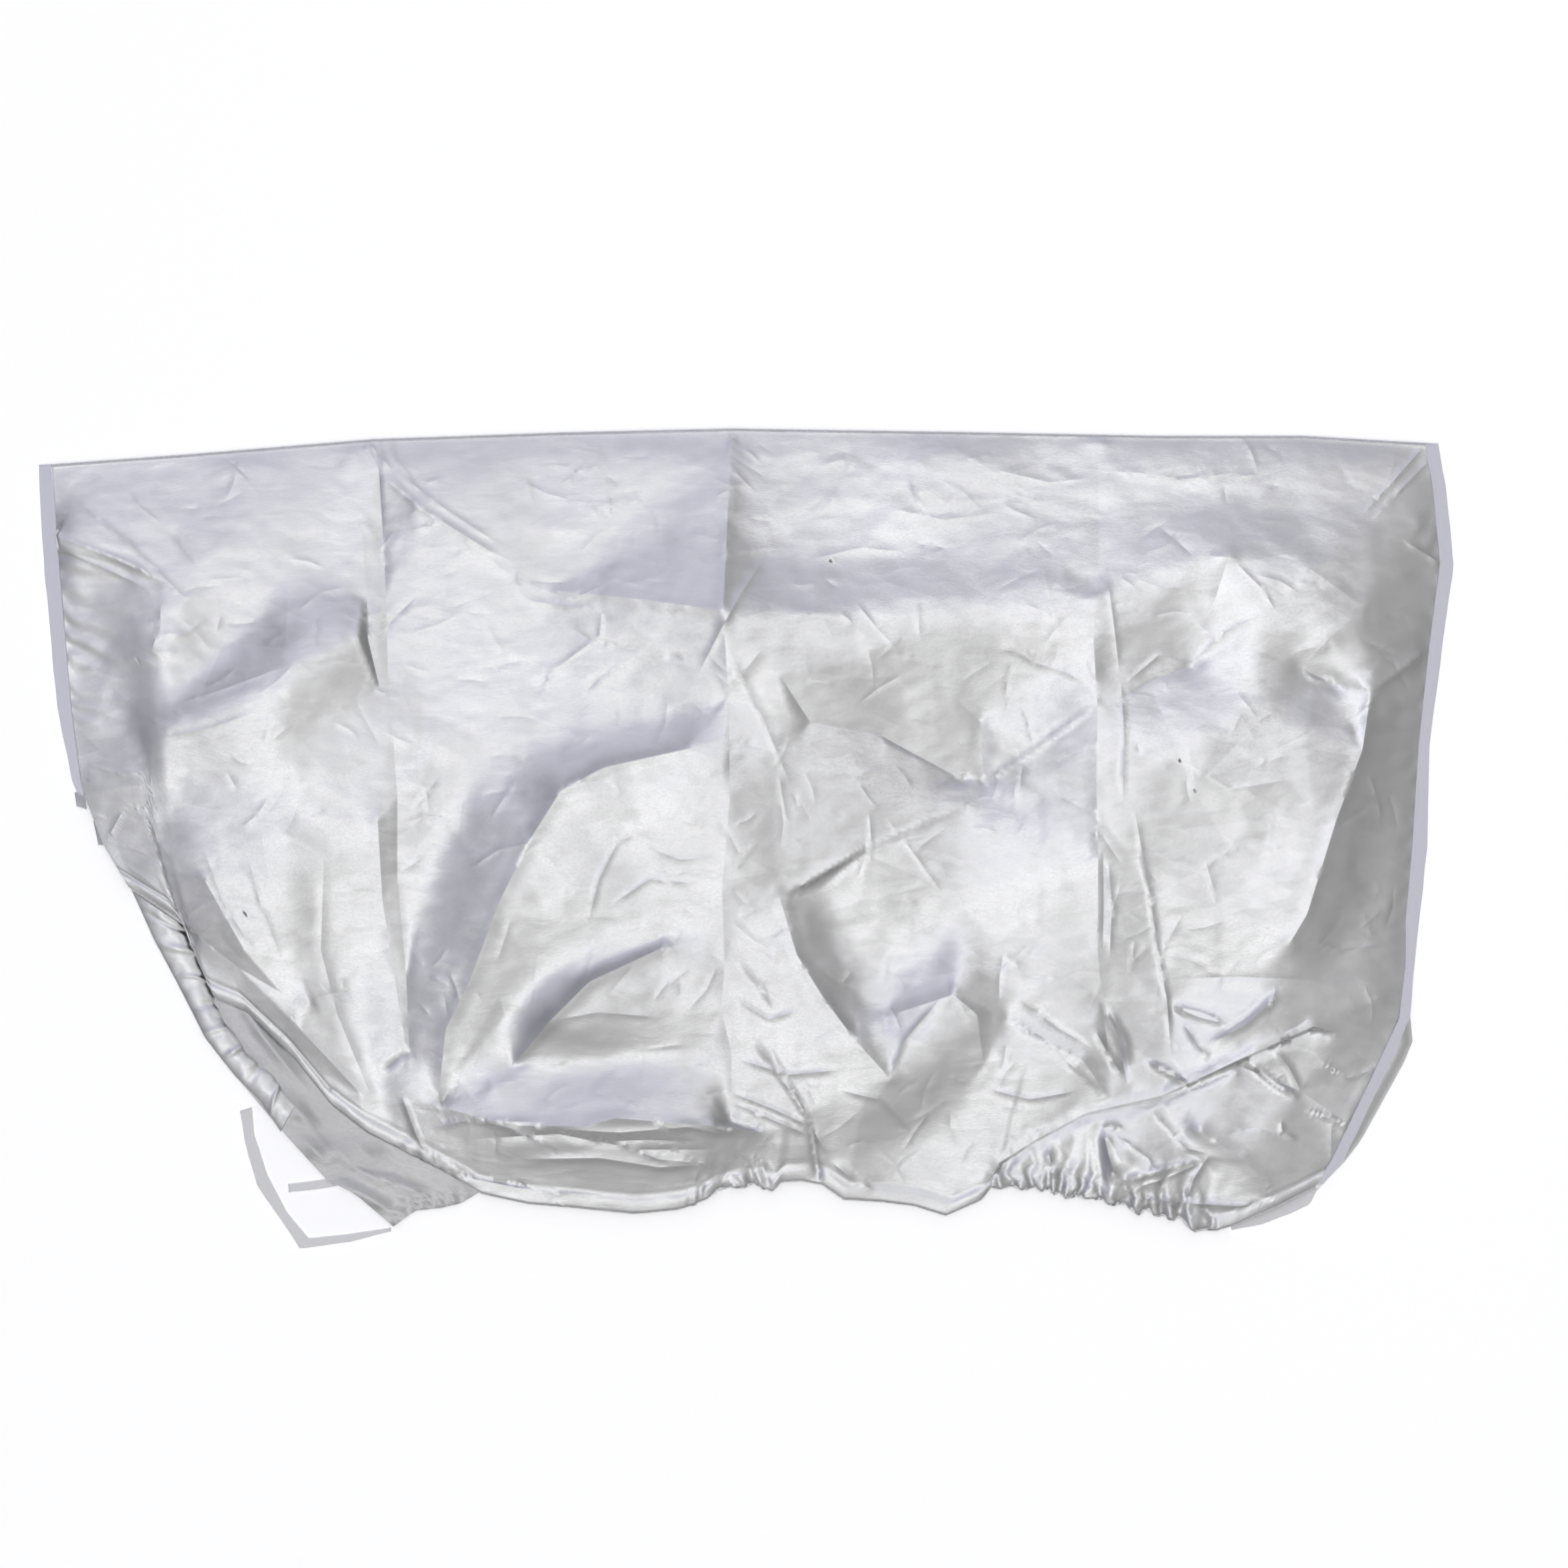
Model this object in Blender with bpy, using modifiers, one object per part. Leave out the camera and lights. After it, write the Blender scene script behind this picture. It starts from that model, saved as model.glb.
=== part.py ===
"""Air conditioner cover of silver coated cloth, lying flat and crumpled on a surface.

Metres, +Z up. The origin is under the middle of the cover, on the surface it lies on.
+X runs along the top fold and +Y points from the gathered mouth to the top fold.
Plan positions in the tables are millimetres from that origin.
"""

import math
from collections import namedtuple

import bmesh
import bpy
import numpy as np
from mathutils import Vector
from mathutils.geometry import delaunay_2d_cdt

# Driving sizes, in metres
MM = 0.001
CLOTH_THICKNESS = 0.0015
FOLD_RADIUS = 0.0028
BINDING_THICKNESS = 0.0018
FILM_THICKNESS = 0.0010
CLEARANCE = 0.0003

# Grid of the cloth: columns run from the top fold to the mouth
COLUMNS = 64
FRONT_ROWS = 30
TURN_ROWS = 3
BACK_ROWS = (0.0, 0.28, 0.52, 0.70, 0.81, 0.89, 0.95, 1.0)
ROW_CROWDING = 1.12

# Height of the front layer's free edges over the surface, in millimetres
SEAM_HEIGHT = 8.0
MOUTH_HEIGHT = 8.0

# Plan outlines in millimetres, each from the top fold down or from left to right
TOP_FOLD = [(-523.5, 282), (-414.5, 290), (-281, 301), (-140, 306), (-12.5, 309),
            (152.5, 306.5), (310, 303.5), (419.5, 303.5), (513, 298)]
LEFT_SEAM = [(-523.5, 282), (-521, 229), (-516.5, 176), (-510, 99), (-502.5, 42),
             (-484, -6), (-465, -37)]
RIGHT_SEAM = [(513, 298), (518.5, 264), (524, 207), (516, 145), (508, 71), (503, -8),
              (498, -63), (498, -107.5), (493, -136), (471, -183), (442, -243), (428, -263)]
FRONT_MOUTH = [(-465, -37), (-423, -63), (-377, -100), (-368, -130), (-339, -167), (-283, -222),
               (-226, -252), (-199, -268), (-130, -278.5), (-86, -283), (-36.5, -275.5),
               (-12, -263.5), (42, -258.5), (73, -272.5), (150, -284.5), (184, -263.5),
               (226, -265.5), (281.5, -276), (338.5, -296), (366, -292), (401, -277), (428, -263)]
BACK_LEFT = LEFT_SEAM + [(-447.5, -75), (-430, -107.5), (-408, -151), (-385, -179.5),
                         (-352, -218.5), (-316, -258), (-295, -268), (-266, -293)]
BACK_MOUTH = [(-266, -293), (-230, -279), (-199, -266), (-86, -276), (-36.5, -270), (0, -261),
              (42, -254), (150, -274), (184, -256), (281.5, -264), (338.5, -284), (366, -287),
              (401, -275), (431, -266)]
BACK_RIGHT = [(513, 298), (516, 264), (521.5, 207), (513.5, 145), (505.5, 71), (500.5, -8),
              (495.5, -63), (496, -105), (500.5, -128.5), (503, -157), (490, -181),
              (464, -228), (451, -245), (438, -258), (431, -266)]

# Main folds of the front layer: a row for each ridge, valley or packing crease, with the
# x, y and height of the cloth at each end and bend, in millimetres
FRONT_FOLDS = {
    "left packing crease": [(-281, 296, 7), (-272, 222, 9), (-269, 125, 12), (-266, 90, 17),
                            (-264, 31, 17), (-261.5, -27, 14), (-255.5, -104, 11),
                            (-253, -161, 12)],
    "middle packing crease": [(-11, 302, 7), (-14, 239, 20), (-17, 170, 34), (-13, 104, 24),
                              (-12, 30, 24), (-18, -38, 20), (-16, -94, 18), (-18.5, -128, 22),
                              (-11, -161, 20), (-11, -213, 16)],
    "right packing crease": [(264, 300, 7), (265, 239, 17), (264, 185, 30), (260, 149, 28),
                             (263, 100, 24), (262, 44, 29), (263.5, -16, 27), (263.5, -84, 20),
                             (266.5, -121, 17), (272.5, -166, 18)],
    "ridge beside left crease": [(-297, 290, 12), (-296, 231, 17), (-292, 179, 20),
                                 (-292, 150, 22)],
    "left seam ridge": [(-520, 227, 10), (-477, 212, 13), (-438, 193, 15), (-420, 180, 16)],
    "left seam valley": [(-517, 198, 8), (-481, 178, 9), (-466, 134, 10), (-453, 94, 12)],
    "left seam shoulder": [(-420, 180, 16), (-449, 145, 18), (-441, 93, 20)],
    "upper left valley": [(-346, 180, 14), (-378, 151, 13), (-403, 123, 14), (-430, 99, 17)],
    "upper left ridge": [(-300, 144, 24), (-346, 126, 27), (-403, 102, 26), (-441, 84, 22)],
    "left arc ridge": [(-445, 40, 16), (-399, 51, 20), (-354, 57, 23), (-276, 29, 19)],
    "left tent ridge": [(-429, 33, 16), (-357, 34, 22), (-276, 12, 28), (-279, -46, 25),
                        (-267, -106, 20), (-257, -155, 16)],
    "left tent valley": [(-318, -16, 18), (-319, -84, 13), (-307, -132, 11), (-278, -202, 9)],
    "left fan ridge": [(-406, -31, 20), (-376, -84, 19), (-335, -143, 16), (-290, -192, 11)],
    "left fan ridge end": [(-258, -194, 14), (-243, -236, 9)],
    "corner crease": [(-275, 272, 9), (-247, 249, 14), (-172, 194, 15), (-108, 170, 18)],
    "upper middle valley": [(-153, 187, 13), (-71, 230, 13), (-27, 279, 10), (-11, 302, 7)],
    "upper middle ridge": [(-153, 187, 14), (-80, 179, 24), (-17, 170, 34)],
    "leaf upper valley": [(-246, 18, 15), (-207, 40, 15), (-173, 53, 16), (-122, 72, 17),
                          (-66, 82, 19)],
    "leaf upper ridge": [(-138, 36, 38), (-106, 53, 35), (-43, 67, 30), (-14, 57, 26)],
    "leaf left ridge": [(-138, 36, 38), (-162, -2, 37), (-185, -49, 34), (-207, -107, 29),
                        (-225, -143, 25), (-231, -194, 16)],
    "leaf left valley": [(-246, 18, 15), (-232, -26, 12), (-251, -80, 11)],
    "leaf lower valley": [(-229, -198, 14), (-178, -141, 16), (-149, -107, 18), (-95, -85, 20),
                          (-59, -72, 21)],
    "second leaf ridge": [(-189, -187, 18), (-147, -137, 29), (-117, -107, 30), (-61, -81, 26)],
    "second leaf tip": [(-147, -137, 29), (-52, -143, 25)],
    "belly edge": [(-230, -202, 14), (-170, -215, 17), (-120, -215, 20), (-97, -209, 21),
                   (-23, -215, 18), (14, -221, 14)],
    "belly foot": [(-207, -245, 10), (-110, -232, 10), (-50, -229, 11), (8, -238, 9)],
    "mouth roll": [(-190, -256, 10), (-140, -260, 12), (-72, -262, 13), (-23, -250, 11)],
    "upper right hollow": [(14, 210, 22), (78, 189, 20), (145, 207, 19), (254, 235, 17),
                           (310, 252, 16), (461, 241, 15)],
    "upper right ridge": [(-12, 150, 30), (44, 168, 30), (129, 177, 32), (197, 181, 32),
                          (264, 185, 31), (310, 200, 30), (362, 213, 35), (408, 210, 31),
                          (422, 202, 29)],
    "plateau edge": [(44, 168, 30), (105, 145, 33), (156, 106, 32), (176, 88, 30),
                     (179, 59, 22)],
    "plateau foot": [(48, 87, 12), (101, 76, 11), (164, 43, 11)],
    "small middle peak": [(-12, 150, 30), (21, 123, 29), (29, 98, 25), (25, 59, 20),
                          (-12, 30, 22)],
    "star valley": [(263, 100, 24), (215, 65, 16), (174, 39, 11)],
    "crossing crease": [(29, -42, 19), (92, -6, 17), (164, 24, 12)],
    "swept ridge": [(25, -44, 23), (38, -87, 28), (59, -121, 30), (81, -150, 30),
                    (108, -180, 28)],
    "swept valley": [(54, -40, 13), (70, -85, 12), (83, -119, 13), (104, -134, 17)],
    "small wedge valley": [(106, -123, 13), (145, -95, 13), (164, -49, 15)],
    "loop ridge": [(104, -134, 18), (155, -117, 26), (173, -132, 26), (178, -170, 20)],
    "loop foot": [(63, -242, 13), (126, -224, 9), (160, -196, 11)],
    "cross crease": [(5, -150, 22), (47, -206, 20), (54, -254, 8)],
    "lower middle crease": [(196, -134, 17), (252, -166, 22), (272, -195, 18)],
    "overhang edge": [(190, -241, 14), (216, -227, 15), (255, -206, 17), (311, -193, 20),
                      (379, -161, 23), (425, -141, 20), (443, -146, 15)],
    "overhang foot": [(197, -252, 5), (222, -236, 5), (262, -215, 6), (317, -203, 8),
                      (385, -171, 11), (431, -151, 12)],
    "right peak ridge": [(362, 213, 35), (350, 175, 27), (334, 129, 15)],
    "right peak valley": [(302, 111, 19), (334, 129, 15), (358, 153, 19), (384, 167, 24)],
    "right shoulder ridge": [(422, 202, 29), (463, 173, 31), (437, 150, 28), (416, 127, 20)],
    "right notch": [(416, 127, 19), (441, 116, 16), (468, 110, 25)],
    "right apex crease": [(468, 110, 25), (507, 138, 12)],
    "right upper crease": [(422, 202, 29), (506, 234, 12)],
    "big facet edge": [(384, 104, 25), (350, 87, 27), (323, 66, 28), (296, 43, 28), (290, 16, 26),
                       (302, -37, 22), (311, -96, 15), (319, -166, 16)],
    "right tent ridge": [(468, 110, 26), (461, 66, 32), (441, 14, 35), (419, -57, 35),
                         (407, -77, 34)],
    "right tent foot": [(380, -106, 20), (415, -103, 19), (465, -106, 13)],
    "lower right crumple": [(319, -128, 13), (348, -152, 19), (393, -122, 23), (475, -121, 12)],
    "lower right crease": [(374, -172, 15), (417, -196, 17), (453, -218, 9)],
    "lower right ridge": [(290, -250, 8), (349, -235, 17), (391, -258, 9)],
}

# Gathers drawn in by the mouth's elastic: reach into the cloth, pitch and rise in millimetres
Gather = namedtuple("Gather", "start end pitch rise reach")
GATHERS = [
    Gather(-40, 24, 33, 3.0, 22),
    Gather(184, 345, 33, 2.5, 30),
]

# Side bindings: plan position of the inner edge, then the tape's width, the height of the inner
# edge's top and the height of the outer edge's underside, in millimetres
BindingStation = namedtuple("BindingStation", "x y width inner_top outer_base")
LEFT_BINDING = [
    BindingStation(-524.5, 280.5, 10, 5.0, 0.0),
    BindingStation(-521, 229, 11, 6.0, 0.0),
    BindingStation(-516.5, 176, 11, 6.0, 0.0),
    BindingStation(-510, 99, 10.5, 6.0, 0.0),
    BindingStation(-502.5, 42, 5.5, 6.0, 0.0),
    BindingStation(-500, 32, 3.5, 6.0, 0.0),
]
RIGHT_BINDING = [
    BindingStation(514, 296.5, 9, 5.0, 0.0),
    BindingStation(518.5, 264, 9.5, 6.0, 0.0),
    BindingStation(524, 207, 10, 6.0, 0.0),
    BindingStation(516, 145, 9.5, 6.0, 0.0),
    BindingStation(508, 71, 8, 6.0, 0.0),
    BindingStation(503, -8, 11, 6.0, 0.0),
    BindingStation(498, -63, 10, 6.0, 0.2),
    BindingStation(498, -96, 6, 6.0, 2.6),
    BindingStation(493, -136, 7, 6.0, 2.8),
    BindingStation(471, -183, 8, 6.0, 2.8),
    BindingStation(442, -243, 8, 6.0, 2.8),
    BindingStation(430, -261, 4, 6.0, 2.8),
]

# End film at the lower left and the bindings of the two end panels, in millimetres
FILM_UNDER_CLOTH = [(-262, -272), (-280, -235), (-330, -203), (-352, -194)]
FILM_BINDING_OUTER = [(-382, -206), (-379, -227.5), (-369.5, -262), (-352, -287), (-337, -310),
                      (-299, -305), (-268, -297)]
FILM_BINDING_INNER = [(-373, -203), (-371, -224), (-361, -254.5), (-346, -283), (-330, -302),
                      (-299, -298.6), (-268, -294)]
FILM_STRAP = [(-345.5, -261, -345, -267.5), (-318, -257.5, -317, -264), (-298, -253, -297, -260)]
END_BINDING_OUTER = [(430, -265), (425, -276), (409, -284), (389.5, -291), (366, -296)]
END_BINDING_INNER = [(424, -259.5), (414, -264), (398, -270), (380, -277), (362, -284)]

# Part of the back layer that lies over the end film
FILM_LIFT = 2.7
LIFT_FULL_Y = -172.0
LIFT_NONE_Y = -105.0
LIFT_FULL_X = -240.0
LIFT_NONE_X = -180.0

COLLECTION_NAME = "air conditioner cover"


def clear_scene():
    """Removes whatever the file already holds."""
    for obj in list(bpy.data.objects):
        bpy.data.objects.remove(obj, do_unlink=True)


def make_collection():
    """Makes the collection that holds the parts."""
    collection = bpy.data.collections.new(COLLECTION_NAME)
    bpy.context.scene.collection.children.link(collection)
    return collection


def make_material(name, color, roughness, metallic=0.0, alpha=1.0):
    """Makes a Principled material."""
    material = bpy.data.materials.new(name)
    material.use_nodes = True
    shader = material.node_tree.nodes["Principled BSDF"]
    shader.inputs["Base Color"].default_value = (*color, 1.0)
    shader.inputs["Roughness"].default_value = roughness
    shader.inputs["Metallic"].default_value = metallic
    shader.inputs["Alpha"].default_value = alpha
    return material


def along(points, fraction):
    """Point at a fraction of a polyline's length."""
    steps = [math.dist(a, b) for a, b in zip(points, points[1:])]
    reach = np.concatenate([[0.0], np.cumsum(steps)])
    target = fraction * reach[-1]
    return tuple(float(np.interp(target, reach, axis)) for axis in zip(*points))


def across(points, fraction):
    """Point at a fraction of a polyline's span in x."""
    xs, ys = zip(*points)
    x = xs[0] + fraction * (xs[-1] - xs[0])
    return (x, float(np.interp(x, xs, ys)))


def patch_point(u, v, top, bottom, left, right):
    """Point of the patch between four outlines, u from left to right and v from the top down."""
    top_point = Vector(across(top, u))
    bottom_point = Vector(across(bottom, u))
    left_point = Vector(along(left, v))
    right_point = Vector(along(right, v))
    corners = ((1 - u) * (1 - v) * Vector(top[0]) + u * (1 - v) * Vector(top[-1])
               + (1 - u) * v * Vector(bottom[0]) + u * v * Vector(bottom[-1]))
    return (1 - v) * top_point + v * bottom_point + (1 - u) * left_point + u * right_point - corners


class FoldField:
    """Height of the front layer: flat facets stretched between the folds."""

    def __init__(self, rows):
        points = []
        edges = []
        for row in rows:
            first = len(points)
            points.extend(row)
            edges.extend((i, i + 1) for i in range(first, len(points) - 1))
        plan = [Vector((x, y)) for x, y, _ in points]
        verts, _, faces, origins, _, _ = delaunay_2d_cdt(plan, edges, [], 0, 0.5)
        self.plan = np.array([tuple(vert) for vert in verts])
        self.height = np.array([
            np.mean([points[i][2] for i in origin]) if origin else self.on_fold(vert, points, edges)
            for vert, origin in zip(verts, origins)])
        self.faces = np.array([tuple(face) for face in faces])

    @staticmethod
    def on_fold(spot, points, edges):
        """Height where two folds cross."""
        best = (1e9, 0.0)
        for a, b in edges:
            start = Vector(points[a][:2])
            run = Vector(points[b][:2]) - start
            t = min(max((spot - start).dot(run) / max(run.length_squared, 1e-9), 0.0), 1.0)
            gap = (start + t * run - spot).length
            best = min(best, (gap, points[a][2] + t * (points[b][2] - points[a][2])))
        return best[1]

    def at(self, x, y):
        """Height of the facet under a plan position."""
        a, b, c = (self.plan[self.faces[:, k]] for k in range(3))
        area = (b[:, 0] - a[:, 0]) * (c[:, 1] - a[:, 1]) - (c[:, 0] - a[:, 0]) * (b[:, 1] - a[:, 1])
        area = np.where(np.abs(area) < 1e-9, 1e-9, area)
        share_b = ((x - a[:, 0]) * (c[:, 1] - a[:, 1]) - (c[:, 0] - a[:, 0]) * (y - a[:, 1])) / area
        share_c = ((b[:, 0] - a[:, 0]) * (y - a[:, 1]) - (x - a[:, 0]) * (b[:, 1] - a[:, 1])) / area
        inside = np.minimum(np.minimum(share_b, share_c), 1 - share_b - share_c)
        best = int(np.argmax(inside))
        weights = (1 - share_b[best] - share_c[best], share_b[best], share_c[best])
        return float(sum(w * self.height[i] for w, i in zip(weights, self.faces[best])))


def beside(points, distance):
    """Polyline beside another one, to the left of its direction."""
    normals = []
    for (ax, ay), (bx, by) in zip(points, points[1:]):
        length = math.hypot(bx - ax, by - ay)
        normals.append(Vector((ay - by, bx - ax)) / length)
    moved = []
    for i, point in enumerate(points):
        first = normals[max(i - 1, 0)]
        second = normals[min(i, len(normals) - 1)]
        bend = first + second
        moved.append(tuple(Vector(point) + distance * 2 * bend / bend.length_squared))
    return moved


def edge_row(outline, height):
    """Fold row that follows an outline at one height."""
    return [(x, y, height) for x, y in outline]


def gather_rise(x, edge_distance):
    """Rise of the gathers near the mouth, in millimetres."""
    rise = 0.0
    for gather in GATHERS:
        if gather.start <= x <= gather.end:
            wave = math.sin(2 * math.pi * (x - gather.start) / gather.pitch)
            rise += gather.rise * wave * math.exp(-edge_distance / gather.reach)
    return rise


def smooth_step(value, start, end):
    """Zero at start, one at end, eased between them."""
    t = min(max((value - start) / (end - start), 0.0), 1.0)
    return t * t * (3 - 2 * t)


def back_lift(x, y):
    """Height of the back layer's underside where it lies over the end film."""
    return (FILM_LIFT * smooth_step(y, LIFT_NONE_Y, LIFT_FULL_Y)
            * smooth_step(x, LIFT_NONE_X, LIFT_FULL_X))


def cloth_rows():
    """Rows of points of the cloth's outer face: front, turn at the top fold, back."""
    radius = FOLD_RADIUS / MM
    top = [(x, y - radius) for x, y in TOP_FOLD]
    left = [(x, y - radius * (i == 0)) for i, (x, y) in enumerate(LEFT_SEAM)]
    right = [(x, y - radius * (i == 0)) for i, (x, y) in enumerate(RIGHT_SEAM)]
    back_left = left + BACK_LEFT[len(LEFT_SEAM):]
    back_right = [(x, y - radius * (i == 0)) for i, (x, y) in enumerate(BACK_RIGHT)]
    field = FoldField(list(FRONT_FOLDS.values())
                      + [edge_row(top, 2 * radius), edge_row(left, SEAM_HEIGHT),
                         edge_row(right, SEAM_HEIGHT), edge_row(FRONT_MOUTH, MOUTH_HEIGHT)])
    steps = [i / COLUMNS for i in range(COLUMNS + 1)]
    rows = []
    for j in range(FRONT_ROWS, -1, -1):
        v = 1 - (1 - j / FRONT_ROWS) ** ROW_CROWDING
        row = []
        for u in steps:
            x, y = patch_point(u, v, top, FRONT_MOUTH, left, right)
            edge_distance = max(y - across(FRONT_MOUTH, u)[1], 0.0)
            height = field.at(x, y) if j else 2 * radius
            row.append((x, y, height + gather_rise(x, edge_distance)))
        rows.append(row)
    for k in range(1, TURN_ROWS + 1):
        angle = math.pi * (0.5 - k / (TURN_ROWS + 1))
        rows.append([(x, y + radius * math.cos(angle), radius + radius * math.sin(angle))
                     for x, y in (across(top, u) for u in steps)])
    for v in BACK_ROWS:
        row = []
        for u in steps:
            x, y = patch_point(u, v, top, BACK_MOUTH, back_left, back_right)
            row.append((x, y, back_lift(x, y)))
        rows.append(row)
    return rows


def add_sheet(name, rows, thickness, material, collection, offset=-1.0):
    """Sheet through rows of points, thickened with Solidify."""
    bm = bmesh.new()
    bmesh.ops.create_grid(bm, x_segments=len(rows[0]) - 1, y_segments=len(rows) - 1, size=1.0)
    bm.verts.ensure_lookup_table()
    for vert, point in zip(bm.verts, (point for row in rows for point in row)):
        vert.co = Vector(point) * MM
    mesh = bpy.data.meshes.new(name)
    bm.to_mesh(mesh)
    bm.free()
    obj = bpy.data.objects.new(name, mesh)
    obj.data.materials.append(material)
    collection.objects.link(obj)
    solidify = obj.modifiers.new("thickness", "SOLIDIFY")
    solidify.thickness = thickness
    solidify.offset = offset
    return obj


def add_cover_cloth(collection):
    """The silver cloth: back layer on the surface, turned at the top fold, crumpled front layer."""
    material = make_material("silver coated cloth", (0.72, 0.72, 0.75), 0.38, metallic=0.8)
    return add_sheet("cover_cloth", cloth_rows(), CLOTH_THICKNESS, material, collection)


def add_side_binding(name, stations, side, material, collection):
    """Binding tape beside a seam, its inner edge at the cloth's edge and its outer edge lower."""
    gap = CLEARANCE / MM
    thick = BINDING_THICKNESS / MM
    inner = [(s.x + side * gap, s.y, s.inner_top) for s in stations]
    middle = [(s.x + side * (gap + s.width * 0.55), s.y,
               0.55 * (s.inner_top + s.outer_base + thick)) for s in stations]
    outer = [(s.x + side * (gap + s.width), s.y, s.outer_base + thick) for s in stations]
    rows = [outer, middle, inner] if side < 0 else [inner, middle, outer]
    return add_sheet(name, rows, BINDING_THICKNESS, material, collection)


def add_flat_strip(name, first, second, base, thickness, material, collection):
    """Flat tape between two edges, lying with its underside at a given height."""
    top = base + thickness / MM
    rows = [[(x, y, top) for x, y in first], [(x, y, top) for x, y in second]]
    return add_sheet(name, rows, thickness, material, collection)


def add_end_film(collection):
    """Clear film of the left end panel, a flat outline lying on the surface."""
    curve = bpy.data.curves.new("end_film_left", "CURVE")
    curve.dimensions = "2D"
    curve.fill_mode = "BOTH"
    curve.extrude = FILM_THICKNESS / 2
    outline = beside(FILM_BINDING_INNER, CLEARANCE / MM) + FILM_UNDER_CLOTH
    spline = curve.splines.new("POLY")
    spline.points.add(len(outline) - 1)
    for point, (x, y) in zip(spline.points, outline):
        point.co = (x * MM, y * MM, 0.0, 1.0)
    spline.use_cyclic_u = True
    obj = bpy.data.objects.new("end_film_left", curve)
    obj.location.z = FILM_THICKNESS / 2
    obj.data.materials.append(make_material("clear film", (0.95, 0.95, 0.97), 0.15, alpha=0.35))
    collection.objects.link(obj)
    return obj


def build():
    """Builds the cover's pieces."""
    clear_scene()
    collection = make_collection()
    tape = make_material("binding tape", (0.76, 0.76, 0.84), 0.7)
    add_cover_cloth(collection)
    add_side_binding("side_binding_left", LEFT_BINDING, -1, tape, collection)
    add_side_binding("side_binding_right", RIGHT_BINDING, 1, tape, collection)
    add_end_film(collection)
    add_flat_strip("film_binding_left", FILM_BINDING_OUTER, FILM_BINDING_INNER, 0.0,
                   BINDING_THICKNESS, tape, collection)
    strap_upper = [(x, y) for x, y, _, _ in FILM_STRAP]
    strap_lower = [(x, y) for _, _, x, y in FILM_STRAP]
    strap_base = (FILM_THICKNESS + CLEARANCE) / MM
    add_flat_strip("film_strap_left", strap_lower, strap_upper, strap_base,
                   FILM_THICKNESS, tape, collection)
    end_base = (CLOTH_THICKNESS + CLEARANCE) / MM
    add_flat_strip("end_binding_right", END_BINDING_OUTER[::-1], END_BINDING_INNER[::-1],
                   end_base, BINDING_THICKNESS, tape, collection)


build()
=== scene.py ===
import math
from collections import namedtuple

import bpy
import numpy as np
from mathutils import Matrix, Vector, kdtree
from mathutils.geometry import delaunay_2d_cdt


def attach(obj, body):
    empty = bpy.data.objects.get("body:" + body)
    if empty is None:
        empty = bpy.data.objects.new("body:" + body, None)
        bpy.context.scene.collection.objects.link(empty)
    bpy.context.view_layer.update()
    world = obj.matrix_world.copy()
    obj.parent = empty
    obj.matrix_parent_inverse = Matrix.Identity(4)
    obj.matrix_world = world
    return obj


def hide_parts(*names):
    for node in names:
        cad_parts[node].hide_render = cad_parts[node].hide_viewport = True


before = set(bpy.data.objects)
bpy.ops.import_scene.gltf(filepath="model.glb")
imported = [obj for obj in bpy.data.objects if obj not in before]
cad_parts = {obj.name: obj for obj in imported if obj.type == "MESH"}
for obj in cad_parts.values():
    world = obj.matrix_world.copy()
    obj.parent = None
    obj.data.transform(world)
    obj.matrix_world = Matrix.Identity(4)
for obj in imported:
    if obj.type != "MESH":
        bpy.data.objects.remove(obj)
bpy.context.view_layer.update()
mm = 0.001
print("frame loaded")

# Silver cover lying flat, seen from straight above. Tables are millimetres in plan, origin under
# the middle of the cover, x along the top fold, y from the gathered mouth to the top fold.

cloth = {
    "columns": 418,
    "frontRows": 196,
    "turnRows": 6,
    "hemRows": 5,
    "backShares": [0, .1, .24, .38, .5, .58, .63, .67, .705, .74, .77, .8, .825, .85, .87, .89,
                   .905, .92, .935, .95, .96, .97, .98, .99, 1.0],
    "foldRadius": 2.8,
    "seamHeight": 5.0,
    "mouthHeight": 8.0,
    "hemWidth": 19.0,
    "relaxTimes": 26,
    "crispReach": 9.0,
    "snapReach": 2.0,
    "snapStep": 0.4,
    "snapClear": 1.0,
    "filmLift": 2.7,
    "frontLow": 3.2,
    "hemGap": 0.9,
    "hemEdgeGap": 0.6,
    "underTurn": 0.3,
}

topFold = [(-523.5, 282), (-414.5, 290), (-281, 301), (-140, 306), (-12.5, 309),
           (152.5, 306.5), (310, 303.5), (419.5, 303.5), (513, 298)]
leftSeam = [(-523.5, 282), (-521, 229), (-516.5, 176), (-510, 99), (-502.5, 42),
            (-484, -6), (-465, -37)]
rightSeam = [(513, 298), (518.5, 264), (524, 207), (516, 145), (508, 71), (503, -8),
             (498, -63), (498, -107.5), (493, -136), (471, -183), (442, -243), (428, -263)]
frontMouth = [(-465, -37), (-428, -60), (-417.5, -74), (-411.5, -95.5), (-400, -121), (-376, -131),
              (-340, -166), (-312, -201), (-285, -222),
              (-226, -252), (-199, -268), (-164.5, -275.5), (-130, -278.5), (-86, -283),
              (-76, -282.5), (-51.5, -280), (-36.5, -275.5), (-27, -269.5), (-12, -263.5),
              (9, -262), (19, -267), (26.5, -259.5), (42, -258.5), (56.5, -261), (73, -272.5),
              (101.5, -274), (126, -277), (150, -284.5), (178, -272.5), (184, -263.5),
              (197.5, -263.5), (226, -265.5), (237, -269.5), (251, -272.5), (260.5, -270),
              (270, -275.5), (281.5, -276), (295, -283), (302.5, -281), (312, -286),
              (325, -287), (338.5, -296), (349, -297), (366, -292), (401, -277), (428, -263)]
backLeft = leftSeam + [(-447.5, -75), (-430, -107.5), (-408, -151), (-385, -179.5),
                       (-352, -218.5), (-316, -258), (-295, -268), (-266, -293)]
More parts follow.
